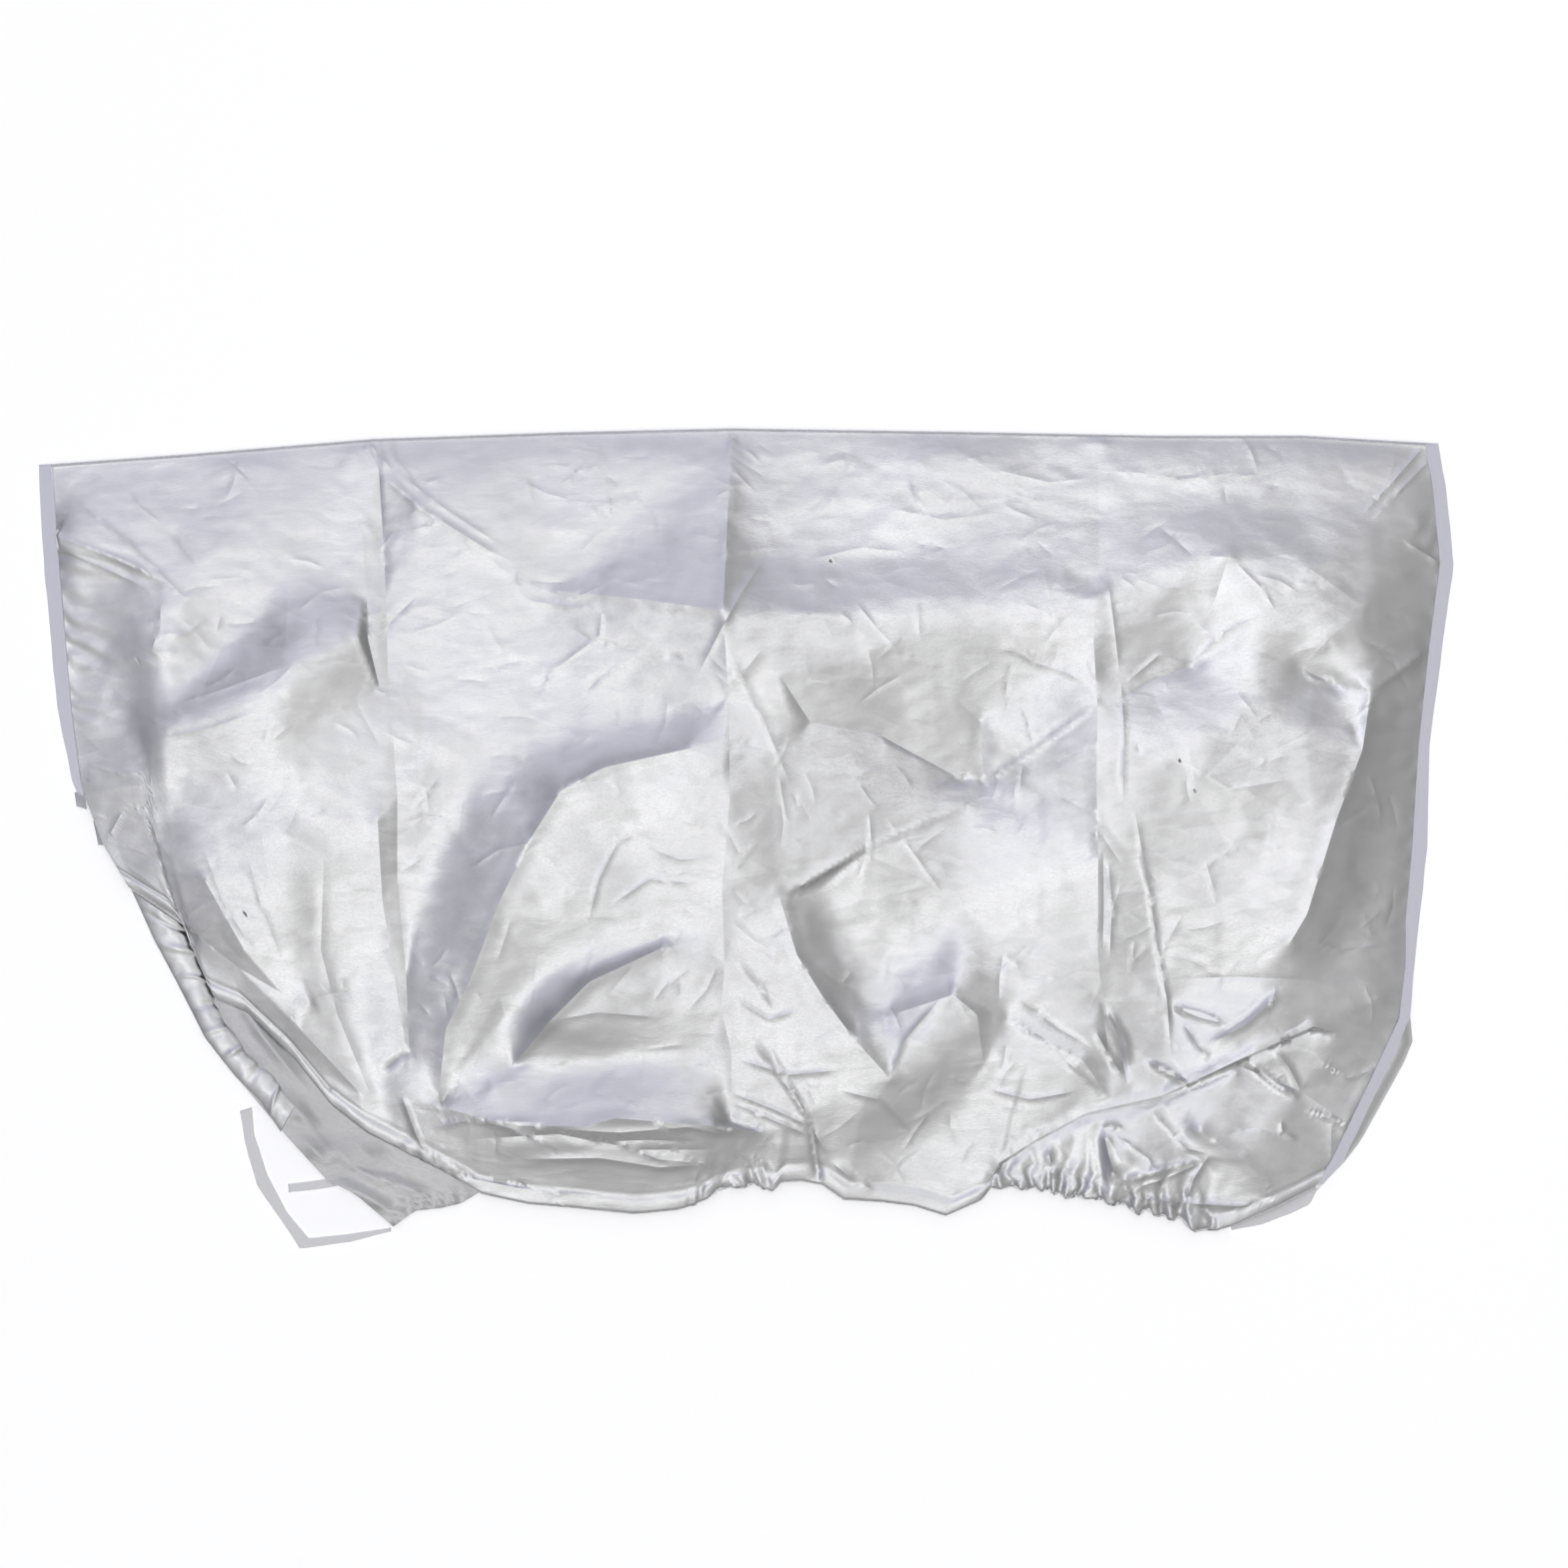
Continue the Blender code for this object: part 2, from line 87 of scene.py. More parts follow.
backMouth = [(-266, -293), (-255, -285), (-249, -281), (-230, -279), (-215, -275.5), (-199, -266),
             (-86, -276), (-36.5, -270), (0, -261), (42, -254), (150, -274), (184, -256),
             (281.5, -264), (338.5, -284), (366, -287), (401, -275), (431, -266)]
backRight = [(513, 298), (516, 264), (521.5, 207), (513.5, 145), (505.5, 71), (500.5, -8),
             (495.5, -63), (496, -105), (500.5, -128.5), (503, -157), (490, -181),
             (464, -228), (451, -245), (438, -258), (431, -266)]

# Main folds: crisp folds keep their line, soft ones are rounded. x, y, height
Fold = namedtuple("Fold", "crisp points")
folds = {
    "left packing crease": Fold(True, [(-285, 295, 7), (-276.5, 277, 8), (-273, 222, 9),
                                       (-270.5, 182, 11), (-269, 123, 14), (-266, 90, 17),
                                       (-261.5, 31, 17), (-262, -27, 14), (-255.5, -104, 11),
                                       (-253, -161, 12)]),
    "middle packing crease": Fold(True, [(-11, 302, 7), (-14, 239, 18), (-17, 170, 34),
                                      (-13, 104, 27), (-12, 30, 30), (-18, -38, 26),
                                      (-16, -94, 24), (-18.5, -128, 23), (-11, -161, 20),
                                         (-11, -213, 16)]),
    "right packing crease": Fold(True, [(264, 300, 7), (265, 239, 12.2), (264, 185, 21.5),
                                        (260, 149, 23), (263, 100, 22), (262, 44, 26),
                                        (263.5, -16, 25), (263.5, -84, 20), (266.5, -121, 17),
                                        (272.5, -166, 18)]),
    "ridge beside left crease": Fold(True, [(-295, 290, 7.5), (-289, 231, 10), (-285, 179, 12),
                                            (-284, 150, 15), (-275, 112, 15.5)]),
    "left seam ridge": Fold(True, [(-520, 227, 10), (-477, 212, 13), (-438, 193, 15),
                                   (-420, 180, 16)]),
    "left seam valley": Fold(False, [(-517, 198, 7), (-487, 182, 8), (-474, 134, 9),
                                     (-462, 94, 10)]),
    "left seam shoulder": Fold(False, [(-420, 180, 17), (-436, 145, 19), (-438, 93, 20)]),
    "upper left valley": Fold(False, [(-336, 190, 13), (-372, 157, 12), (-403, 127, 14),
                                      (-430, 101, 17)]),
    "upper left ridge": Fold(False, [(-292, 152, 24), (-346, 122, 28), (-403, 96, 27),
                                     (-441, 82, 22)]),
    "left arc ridge": Fold(False, [(-445, 40, 16), (-399, 51, 20), (-354, 57, 23),
                                   (-276, 29, 19)]),
    "left tent top": Fold(False, [(-429, 33, 17), (-357, 34, 21), (-276, 14, 20.5)]),
    "left tent ridge": Fold(True, [(-276, 14, 20.5), (-273, -46, 15.5), (-264, -106, 12),
                                   (-256, -155, 12.5)]),
    "left tent valley": Fold(False, [(-300, -10, 19), (-306, -84, 12), (-296, -132, 10),
                                     (-272, -202, 9)]),
    "left tent swell": Fold(False, [(-342, -10, 23), (-338, -84, 18), (-316, -140, 13)]),
    "left fan ridge": Fold(True, [(-406, -31, 20), (-376, -84, 19), (-335, -143, 16),
                                  (-290, -192, 11)]),
    "mouth line": Fold(True, [(-427, -61, 9), (-411.5, -73.5, 12), (-381, -97.5, 14), (-348, -116.5, 16),
                              (-327, -123, 17)]),
    "left fan ridge end": Fold(False, [(-258, -194, 14), (-243, -236, 9)]),
    "corner crease": Fold(True, [(-275, 272, 9), (-247, 249, 13), (-172, 194, 14),
                                 (-108, 170, 19)]),
    "upper middle valley": Fold(False, [(-153, 187, 13), (-71, 230, 13), (-27, 279, 10),
                                        (-11, 302, 7)]),
    "upper middle ridge": Fold(True, [(-153, 187, 14), (-80, 179, 24), (-17, 170, 34)]),
    "leaf upper valley": Fold(False, [(-246, 18, 15), (-207, 40, 15), (-173, 53, 16),
                                      (-122, 72, 17), (-66, 82, 19)]),
    "leaf upper ridge": Fold(True, [(-138, 36, 30), (-106, 53, 31), (-43, 67, 31), (-14, 57, 30)]),
    "leaf left ridge": Fold(True, [(-138, 36, 30), (-162, -2, 29), (-185, -49, 26),
                                   (-207, -107, 22), (-225, -143, 19), (-231, -194, 14)]),
    "leaf left valley": Fold(False, [(-246, 18, 15), (-232, -26, 12), (-251, -80, 11)]),
    "leaf lower valley": Fold(False, [(-229, -198, 12), (-178, -141, 13), (-149, -107, 15),
                                      (-95, -85, 18), (-59, -72, 21)]),
    "second leaf ridge": Fold(True, [(-189, -187, 18), (-147, -137, 29), (-117, -107, 30),
                                     (-61, -81, 26)]),
    "second leaf tip": Fold(False, [(-147, -137, 29), (-52, -143, 21)]),
    "low left valley": Fold(False, [(-196, -172, 13), (-140, -168, 13), (-90, -166, 13),
                                    (-40, -166, 14)]),
    "belly edge": Fold(True, [(-230, -202, 16), (-170, -215, 25), (-120, -215, 29),
                               (-97, -209, 29.5), (-23, -215, 26), (14, -221, 18)]),
    "belly foot": Fold(False, [(-207, -255, 7), (-150, -265, 7), (-86, -271, 7), (-36, -263, 7),
                               (8, -250, 7)]),
    "upper right hollow": Fold(False, [(14, 212, 15), (78, 205, 13.5), (145, 220, 12.5),
                                       (205, 232, 12), (254, 242, 11.5), (310, 250, 11.5),
                                       (362, 250, 12), (412, 248, 12), (470, 246, 10.5)]),
    "top shoulder": Fold(False, [(-500, 262, 7.5), (-300, 283, 7.5), (-150, 290, 8), (0, 292, 7.5),
                                 (160, 289, 9), (310, 287, 10), (430, 283, 10.5), (490, 280, 8.5)]),
    "upper right ridge": Fold(False, [(-12, 150, 30), (44, 168, 26), (129, 170, 25),
                                      (197, 172, 24), (264, 182, 23), (310, 200, 22),
                                       (362, 213, 22), (408, 210, 21), (422, 202, 22)]),
    "plateau edge": Fold(True, [(44, 168, 27), (105, 145, 24), (135, 132, 20), (156, 106, 15),
                                (176, 88, 10), (179, 43, 6)]),
    "plateau foot": Fold(True, [(25, 122, 27), (48, 87, 20), (101, 77, 13), (164, 43, 6)]),
    "small middle peak": Fold(False, [(-12, 150, 34), (25, 122, 30), (33, 92, 26), (27, 59, 25),
                                     (-12, 30, 30)]),
    "star valley": Fold(True, [(263, 100, 25), (215, 65, 15), (179, 43, 6)]),
    "star triangle": Fold(False, [(104, 73, 14), (98, 30, 19), (172, 40, 9)]),
    "crossing crease": Fold(True, [(29, -42, 22), (92, -6, 19), (164, 24, 13)]),
    "swept ridge": Fold(True, [(25, -44, 23), (38, -87, 25.5), (59, -121, 26), (81, -150, 26),
                               (108, -180, 24)]),
    "swept valley": Fold(False, [(54, -40, 13), (70, -85, 12), (83, -119, 13), (104, -134, 17)]),
    "small wedge valley": Fold(False, [(106, -123, 13), (145, -95, 13), (164, -49, 15)]),
    "loop ridge": Fold(True, [(104, -134, 18), (155, -117, 23.5), (173, -132, 23), (178, -170, 18)]),
    "loop foot": Fold(False, [(63, -242, 13), (126, -224, 9), (160, -196, 11)]),
    "cross crease": Fold(True, [(5, -150, 22), (47, -206, 20), (54, -254, 8)]),
    "lower middle crease": Fold(True, [(196, -134, 17), (252, -166, 22), (272, -195, 18)]),
    "overhang edge": Fold(True, [(190, -244, 12), (216, -227, 15), (255, -206, 17),
                                 (311, -193, 20), (379, -161, 23), (425, -141, 20),
                                 (443, -146, 15)]),
    "overhang foot": Fold(True, [(191.5, -246.5, 6), (217.2, -229.3, 7), (256, -208.6, 8),
                                 (312, -195.6, 9), (380, -163.8, 12), (426.5, -144.3, 13)]),
    "right peak ridge": Fold(True, [(362, 213, 22), (350, 175, 21), (334, 129, 16)]),
    "right peak valley": Fold(False, [(302, 111, 19), (334, 129, 15), (358, 153, 19),
                                      (384, 167, 24)]),
    "right shoulder ridge": Fold(True, [(422, 202, 21), (463, 173, 20), (437, 150, 22.5),
                                        (416, 127, 18)]),
    "right notch": Fold(True, [(416, 127, 18), (441, 116, 15), (468, 110, 21)]),
    "right apex crease": Fold(True, [(468, 110, 21), (507, 138, 9)]),
    "right upper crease": Fold(True, [(422, 202, 22), (506, 234, 10)]),
    "big facet edge": Fold(False, [(384, 104, 25), (350, 87, 27), (323, 66, 28), (296, 43, 28),
                                   (290, 16, 26), (302, -37, 22), (311, -96, 15),
                                   (319, -166, 16)]),
    "right tent ridge": Fold(True, [(468, 110, 21), (461, 66, 24.5), (441, 14, 28), (419, -57, 28.5),
                                    (407, -77, 28)]),
    "right side foot": Fold(False, [(500, 120, 9), (487, 60, 12), (474, 0, 13.5), (457, -60, 14),
                                    (440, -96, 14)]),
    "right tent foot": Fold(False, [(380, -106, 20), (415, -103, 19), (465, -106, 13)]),
    "lower right crumple": Fold(True, [(319, -128, 13), (348, -152, 19), (393, -122, 23),
                                       (475, -121, 12)]),
    "lower right crease": Fold(True, [(372, -172, 9), (416, -190, 11), (453, -215, 8)]),
    "lower right ridge": Fold(True, [(340, -219, 17), (371, -240, 16), (389, -258, 13),
                                     (391, -272, 9)]),
    "lower right pocket": Fold(False, [(330, -236, 10), (352, -252, 9), (375, -268, 8)]),
    "pointed fold": Fold(True, [(281, -258, 12), (310, -249, 14), (349, -240, 13)]),
    "pointed fold top": Fold(True, [(268, -219, 9), (281, -240, 15), (292, -262, 12)]),
}

# Fine creases, read off the photograph in its own pixels: points, rise and half width in mm
photo = {"mmPerPixel": 0.75, "originX": 746.7, "originY": 838.7}
Crease = namedtuple("Crease", "rise width points")
creases = [
    Crease(1.6, 4, [(50, 533), (110, 556), (163, 581)]),
    Crease(1.2, 3.5, [(52, 546), (108, 570), (158, 594)]),
    Crease(1.2, 4, [(78, 502), (130, 545), (185, 598)]),
    Crease(1.0, 3, [(367, 441), (380, 456), (392, 470)]),
    Crease(0.8, 3, [(378, 437), (384, 470)]),
    Crease(0.8, 3, [(389, 438), (396, 460), (410, 476)]),
    Crease(1.4, 4, [(380, 470), (417, 506), (490, 551), (517, 564)]),
    Crease(1.1, 3, [(394, 468), (432, 500), (500, 545)]),
    Crease(0.9, 3, [(517, 564), (519, 590)]),
    Crease(1.2, 4, [(517, 590), (527, 600), (569, 608), (603, 610)]),
    Crease(0.8, 3, [(603, 610), (600, 637), (553, 671), (540, 702)]),
    Crease(-0.9, 4, [(560, 620), (590, 640), (640, 655)]),
    Crease(1.2, 4, [(765, 558), (740, 598), (724, 627), (699, 675)]),
    Crease(1.2, 4, [(727, 645), (759, 708), (791, 786)]),
    Crease(0.8, 3, [(919, 600), (920, 637)]),
    Crease(0.8, 3, [(856, 603), (880, 632), (903, 655)]),
    Crease(1.5, 4, [(1097, 705), (1034, 752), (979, 786)]),
    Crease(1.2, 4, [(997, 627), (1034, 663), (1068, 674), (1094, 690)]),
    Crease(1.1, 3.5, [(786, 895), (870, 847), (966, 806), (990, 795)]),
    Crease(0.9, 3, [(888, 820), (916, 856), (942, 892)]),
    Crease(1.0, 3, [(732, 1093), (775, 1110), (816, 1129)]),
    Crease(1.0, 3, [(735, 1104), (775, 1121), (812, 1137)]),
    Crease(-1.6, 4, [(810, 1114), (819, 1183)]),
    Crease(1.2, 4, [(834, 1165), (855, 1182), (876, 1192)]),
    Crease(1.3, 4, [(753, 1039), (780, 1076), (807, 1114)]),
    Crease(0.9, 3, [(771, 1048), (800, 1105), (831, 1162)]),
    Crease(1.0, 3, [(1008, 1018), (1045, 1042), (1083, 1060)]),
    Crease(1.0, 3, [(1065, 1060), (1110, 1099)]),
    Crease(-1.2, 4, [(1020, 1000), (1060, 1030), (1095, 1050)]),
    Crease(1.2, 3, [(1431, 441), (1396, 480), (1362, 517)]),
    Crease(1.0, 3, [(1437, 455), (1402, 490), (1374, 522)]),
    Crease(2.0, 4, [(1408, 543), (1425, 552), (1443, 563)]),
    Crease(1.2, 3.5, [(1301, 669), (1314, 680), (1371, 690)]),
    Crease(1.2, 3.5, [(1371, 692), (1396, 675), (1423, 654)]),
    Crease(-1.0, 3.5, [(1360, 640), (1395, 655), (1430, 650)]),
    Crease(2.0, 5, [(1169, 1005), (1200, 1018), (1230, 1025)]),
    Crease(2.0, 5, [(1211, 1044), (1245, 1025), (1271, 1002), (1276, 988)]),
    Crease(1.2, 4, [(1147, 1061), (1188, 1085)]),
    Crease(1.5, 4, [(1246, 1061), (1275, 1082), (1303, 1100)]),
    Crease(1.1, 4, [(1310, 1111), (1351, 1130)]),
    Crease(2.2, 5, [(1135, 1199), (1192, 1205), (1240, 1208), (1268, 1203)]),
    Crease(2.4, 6, [(1049, 1148), (1052, 1165), (1054, 1182)]),
    Crease(2.8, 7, [(1104, 1131), (1110, 1158), (1118, 1186)]),
    Crease(1.2, 3, [(1104, 1131), (1112, 1123), (1126, 1131)]),
    Crease(2.4, 6, [(1121, 1182), (1160, 1172), (1212, 1158)]),
    Crease(1.0, 3, [(1128, 1192), (1165, 1180), (1205, 1163)]),
    Crease(1.9, 5, [(1245, 1062), (1270, 1080), (1299, 1100)]),
    Crease(1.5, 4.5, [(1275, 1049), (1290, 1068), (1303, 1093)]),
    Crease(1.0, 3, [(1306, 1110), (1330, 1118), (1351, 1127)]),
    Crease(1.1, 3, [(1282, 1121), (1284, 1134), (1299, 1141)]),
    Crease(1.3, 3.5, [(1171, 1006), (1200, 1012), (1227, 1023)]),
    Crease(1.2, 3.5, [(1185, 1025), (1196, 1043), (1209, 1057)]),
    Crease(1.9, 5, [(1145, 1062), (1166, 1070), (1188, 1086)]),
    Crease(1.9, 5, [(1095, 1030), (1107, 1052), (1122, 1075)]),
    Crease(1.7, 5, [(1108, 1010), (1126, 1040), (1130, 1068)]),
    Crease(-1.2, 4, [(1100, 1000), (1118, 1035), (1128, 1085)]),
    Crease(-1.4, 6, [(470, 1140), (560, 1134), (640, 1150), (720, 1150)]),
    Crease(1.4, 5, [(520, 1160), (600, 1158), (660, 1168), (715, 1165)]),
    Crease(1.2, 4, [(430, 1130), (470, 1120), (540, 1122)]),
    Crease(1.3, 5, [(560, 1128), (620, 1132), (690, 1126), (730, 1136)]),
    Crease(-1.0, 4, [(590, 1142), (650, 1140), (700, 1142)]),
    Crease(1.0, 4, [(450, 1176), (520, 1190), (600, 1197)]),
    Crease(0.9, 3, [(1254, 575), (1280, 582), (1300, 595)]),
    Crease(0.9, 3, [(1232, 560), (1262, 590), (1275, 612)]),
    Crease(1.4, 4, [(402, 1097), (412, 1125), (423, 1153)]),
    Crease(-1.3, 4, [(382, 1072), (396, 1060), (409, 1053)]),
    Crease(0.5, 6, [(325, 852), (321, 951), (337, 1015), (376, 1111)]),
    Crease(0.5, 4, [(205, 850), (225, 905), (262, 960)]),
    Crease(0.5, 4, [(250, 860), (262, 905), (282, 960)]),
    Crease(0.8, 3, [(85, 765), (120, 775), (150, 772)]),
    Crease(0.8, 3, [(160, 740), (215, 728), (260, 712)]),
    Crease(0.8, 3, [(176, 706), (225, 690), (285, 668)]),
    Crease(0.8, 3, [(300, 610), (322, 592), (345, 588)]),
    Crease(-0.8, 4, [(1166, 980), (1240, 977), (1330, 981), (1410, 980)]),
    Crease(1.1, 3, [(1134, 811), (1150, 896), (1160, 959), (1168, 1002), (1172, 1060)]),
    Crease(1.0, 3, [(1108, 862), (1112, 905), (1110, 959)]),
    Crease(-0.9, 3, [(1103, 850), (1104, 905), (1103, 950)]),
    Crease(1.0, 3, [(1121, 680), (1124, 740), (1122, 800)]),
    Crease(0.9, 3, [(1106, 563), (1113, 620), (1120, 676)]),
    Crease(1.0, 3, [(1130, 680), (1160, 655), (1190, 665)]),
    Crease(-1.1, 4, [(1120, 700), (1155, 680), (1192, 666)]),
    Crease(1.2, 4, [(1192, 666), (1224, 634), (1259, 616)]),
    Crease(0.7, 3, [(812, 560), (860, 548), (905, 552)]),
    Crease(0.7, 3, [(890, 508), (945, 520), (1000, 512)]),
    Crease(0.7, 3, [(1000, 470), (1050, 482), (1090, 478)]),
    Crease(0.8, 3, [(1112, 470), (1180, 480), (1240, 472)]),
    Crease(0.7, 3, [(470, 870), (500, 850), (540, 842)]),
    Crease(0.9, 3, [(620, 840), (600, 880), (590, 920)]),
    Crease(0.8, 3, [(655, 850), (680, 860), (716, 858)]),
    Crease(0.9, 3, [(612, 905), (650, 880), (700, 884)]),
    Crease(0.8, 3, [(560, 1019), (600, 1012), (665, 1018)]),
    Crease(0.9, 3, [(738, 960), (760, 985), (772, 1010)]),
    Crease(0.9, 3, [(736, 1000), (770, 1020), (800, 1010)]),
    Crease(1.1, 3, [(740, 1060), (790, 1075), (840, 1070)]),
    Crease(1.0, 3, [(840, 1090), (880, 1100), (915, 1138)]),
    Crease(0.9, 3, [(940, 1000), (905, 1040), (888, 1079)]),
    Crease(1.0, 3, [(990, 1090), (1030, 1100), (1075, 1092)]),
    Crease(0.9, 3, [(470, 1118), (520, 1130), (560, 1150)]),
    Crease(0.9, 3, [(600, 1135), (660, 1160), (715, 1165)]),
    Crease(-1.0, 3.5, [(410, 1160), (434, 1172), (500, 1184), (560, 1196)]),
    Crease(0.9, 3, [(1110, 1130), (1150, 1160), (1165, 1195)]),
    Crease(0.9, 3, [(1150, 1110), (1190, 1150), (1211, 1155)]),
    Crease(1.2, 4, [(1211, 1155), (1195, 1180), (1188, 1205)]),
    Crease(0.9, 3, [(1320, 1060), (1350, 1080), (1380, 1070)]),
    Crease(1.0, 3, [(1300, 940), (1340, 950), (1395, 945)]),
    Crease(0.8, 3, [(1150, 850), (1200, 870), (1240, 845)]),
    Crease(0.8, 3, [(1180, 760), (1230, 790), (1290, 780)]),
]

# Folds of the back layer where it shows beyond the mouth at the lower left
backCreases = [
    Crease(2.6, 11, [(286, 1144), (321, 1156), (350, 1158), (386, 1157)]),
    Crease(1.8, 7, [(264, 1109), (290, 1104), (308, 1107)]),
    Crease(1.6, 7, [(308, 1101), (302, 1118), (296, 1135)]),
    Crease(1.4, 8, [(330, 1185), (360, 1196), (392, 1215)]),
    Crease(1.2, 8, [(345, 1168), (390, 1185), (430, 1198)]),
    Crease(1.4, 8, [(235, 1000), (262, 1040), (300, 1085)]),
]

wrinkles = {"seed": 17, "count": 520, "long": (8, 40), "rise": (0.1, 0.4), "width": (2.6, 4.5),
            "lean": 34, "leanLow": 62}

# Crisp random facets all over the cloth: their size and rise; they are longer across than down
crumple = {"seed": 29, "sizes": [(44, 0.95), (21, 0.4)], "stretch": 1.6, "crispFrom": 40,
           "crispShare": 0.3, "clear": 12}

# Gentle swells and ripples of the front layer: rise, cell and seed; shares of the grid where they start
surface = {"swell": (0.6, 64, 3), "ripple": (0.2, 13, 8), "rippleStretch": 1.8,
           "fadeTop": 0.03, "fadeEdge": 0.015}

# Gathers drawn in by the elastic: start, end, pitch, rise, reach and how far the edge puckers
Gather = namedtuple("Gather", "start end pitch rise reach pucker")
gathers = [
    Gather(-44, 26, 14, 1.8, 13, 2.0),
    Gather(178, 352, 15.5, 2.5, 13, 2.6),
    Gather(-262, -214, 11.0, 0.7, 10, 0.8),
]

# How the mouth's gathers wander, roll and die away
gatherForm = {"wander": (9.0, 27, 11), "wanderStretch": 0.6, "tremble": (3.4, 9, 12), "lead": 6,
              "ease": 8, "uneven": 0.5, "unevenPitch": 1.6, "low": 0.6, "roll": 2.3, "second": 0.4,
              "secondRate": 2.3, "secondReach": 4, "rough": (1.2, 4.5, 23)}

# Short gathers drawn in by the side seams: start, end, pitch, rise and reach
SeamGather = namedtuple("SeamGather", "side start end pitch rise reach")
seamGathers = [
    SeamGather(-1, 90, 250, 17, 0.55, 34),
    SeamGather(1, -60, 60, 21, 0.5, 20),
    SeamGather(1, 90, 250, 25, 0.55, 24),
]
seamForm = {"fade": 12, "slant": 0.35, "wander": (9, 28, 31), "uneven": 0.6, "unevenPitch": 1.4,
            "clear": 5}

# Hem channel along the mouth: a soft roll, and the groove of the stitching that closes it
channel = {"rise": 0.9, "width": 13.0, "groove": 0.7, "grooveAt": 14, "grooveWidth": 1.6}


def alongPath(points, shares):
    pts = np.array(points, float)
    reach = np.concatenate([[0.0], np.cumsum(np.hypot(*np.diff(pts[:, :2], axis=0).T))])
    target = np.asarray(shares) * reach[-1]
    return np.stack([np.interp(target, reach, axis) for axis in pts.T], axis=-1)


def acrossPath(points, shares):
    pts = np.array(points, float)
    x = pts[0, 0] + np.asarray(shares) * (pts[-1, 0] - pts[0, 0])
    return np.stack([x, np.interp(x, pts[:, 0], pts[:, 1])], axis=-1)


def patchGrid(u, v, top, bottom, left, right):
    # u runs from left to right, v from the top fold down
    over, under = acrossPath(top, u)[None], acrossPath(bottom, u)[None]
    west, east = alongPath(left, v)[:, None], alongPath(right, v)[:, None]
    a, b = u[None, :, None], v[:, None, None]
    corners = ((1 - a) * (1 - b) * np.array(top[0]) + a * (1 - b) * np.array(top[-1])
               + (1 - a) * b * np.array(bottom[0]) + a * b * np.array(bottom[-1]))
    return (1 - b) * over + b * under + (1 - a) * west + a * east - corners


def smoothStep(value, start, end):
    t = np.clip((value - start) / (end - start), 0, 1)
    return t * t * (3 - 2 * t)


def softNoise(x, y, cell, seed):
    table = np.random.default_rng(seed).uniform(-1, 1, (97, 97))
    gx, gy = x / cell + 200, y / cell + 200
    ix, iy = np.floor(gx).astype(int), np.floor(gy).astype(int)
    fx, fy = gx - ix, gy - iy
    fx, fy = fx * fx * (3 - 2 * fx), fy * fy * (3 - 2 * fy)
    row = [table[(iy + j) % 97, ix % 97] * (1 - fx) + table[(iy + j) % 97, (ix + 1) % 97] * fx
           for j in (0, 1)]
    return row[0] * (1 - fy) + row[1] * fy


def noiseOf(x, y, form):
    rise, cell, seed = form
    return rise * softNoise(x, y, cell, seed)


def lineHeight(spot, points, edges):
    # height where two folds cross
    best = (1e9, 0.0)
    for a, b in edges:
        start = Vector(points[a][:2])
        run = Vector(points[b][:2]) - start
        t = min(max((spot - start).dot(run) / max(run.length_squared, 1e-9), 0.0), 1.0)
        gap = (start + t * run - spot).length
        best = min(best, (gap, points[a][2] + t * (points[b][2] - points[a][2])))
    return best[1]


def facetNet(rows):
    # flat facets stretched between lines of x, y, height: corners, their heights, faces
    points, edges = [], []
    for row in rows:
        first = len(points)
        points.extend(row)
        edges.extend((i, i + 1) for i in range(first, len(points) - 1))
    verts, lines, faces, origins, _, _ = delaunay_2d_cdt([Vector(p[:2]) for p in points], edges, [],
                                                         0, 0.5)
    level = np.array([np.mean([points[i][2] for i in origin]) if origin
                      else lineHeight(vert, points, edges) for vert, origin in zip(verts, origins)])
    return np.array([tuple(vert) for vert in verts]), level, faces, lines


def netHeights(net, plan):
    corner, level, faces, _ = net
    x, y = plan[..., 0].ravel(), plan[..., 1].ravel()
    height = np.full(x.shape, float(np.mean(level)))
    best = np.full(x.shape, -1e9)
    for face in faces:
        (ax, ay), (bx, by), (cx, cy) = corner[list(face)]
        area = (bx - ax) * (cy - ay) - (cx - ax) * (by - ay)
        if abs(area) < 1e-6:
            continue
        near = np.nonzero((x > min(ax, bx, cx) - 4) & (x < max(ax, bx, cx) + 4)
                          & (y > min(ay, by, cy) - 4) & (y < max(ay, by, cy) + 4))[0]
        px, py = x[near], y[near]
        shareB = ((px - ax) * (cy - ay) - (cx - ax) * (py - ay)) / area
        shareC = ((bx - ax) * (py - ay) - (px - ax) * (by - ay)) / area
        depth = np.minimum(np.minimum(shareB, shareC), 1 - shareB - shareC)
        better = depth > best[near]
        chosen = near[better]
        best[chosen] = depth[better]
        za, zb, zc = level[list(face)]
        height[chosen] = (za + shareB * (zb - za) + shareC * (zc - za))[better]
    return height.reshape(plan.shape[:2])


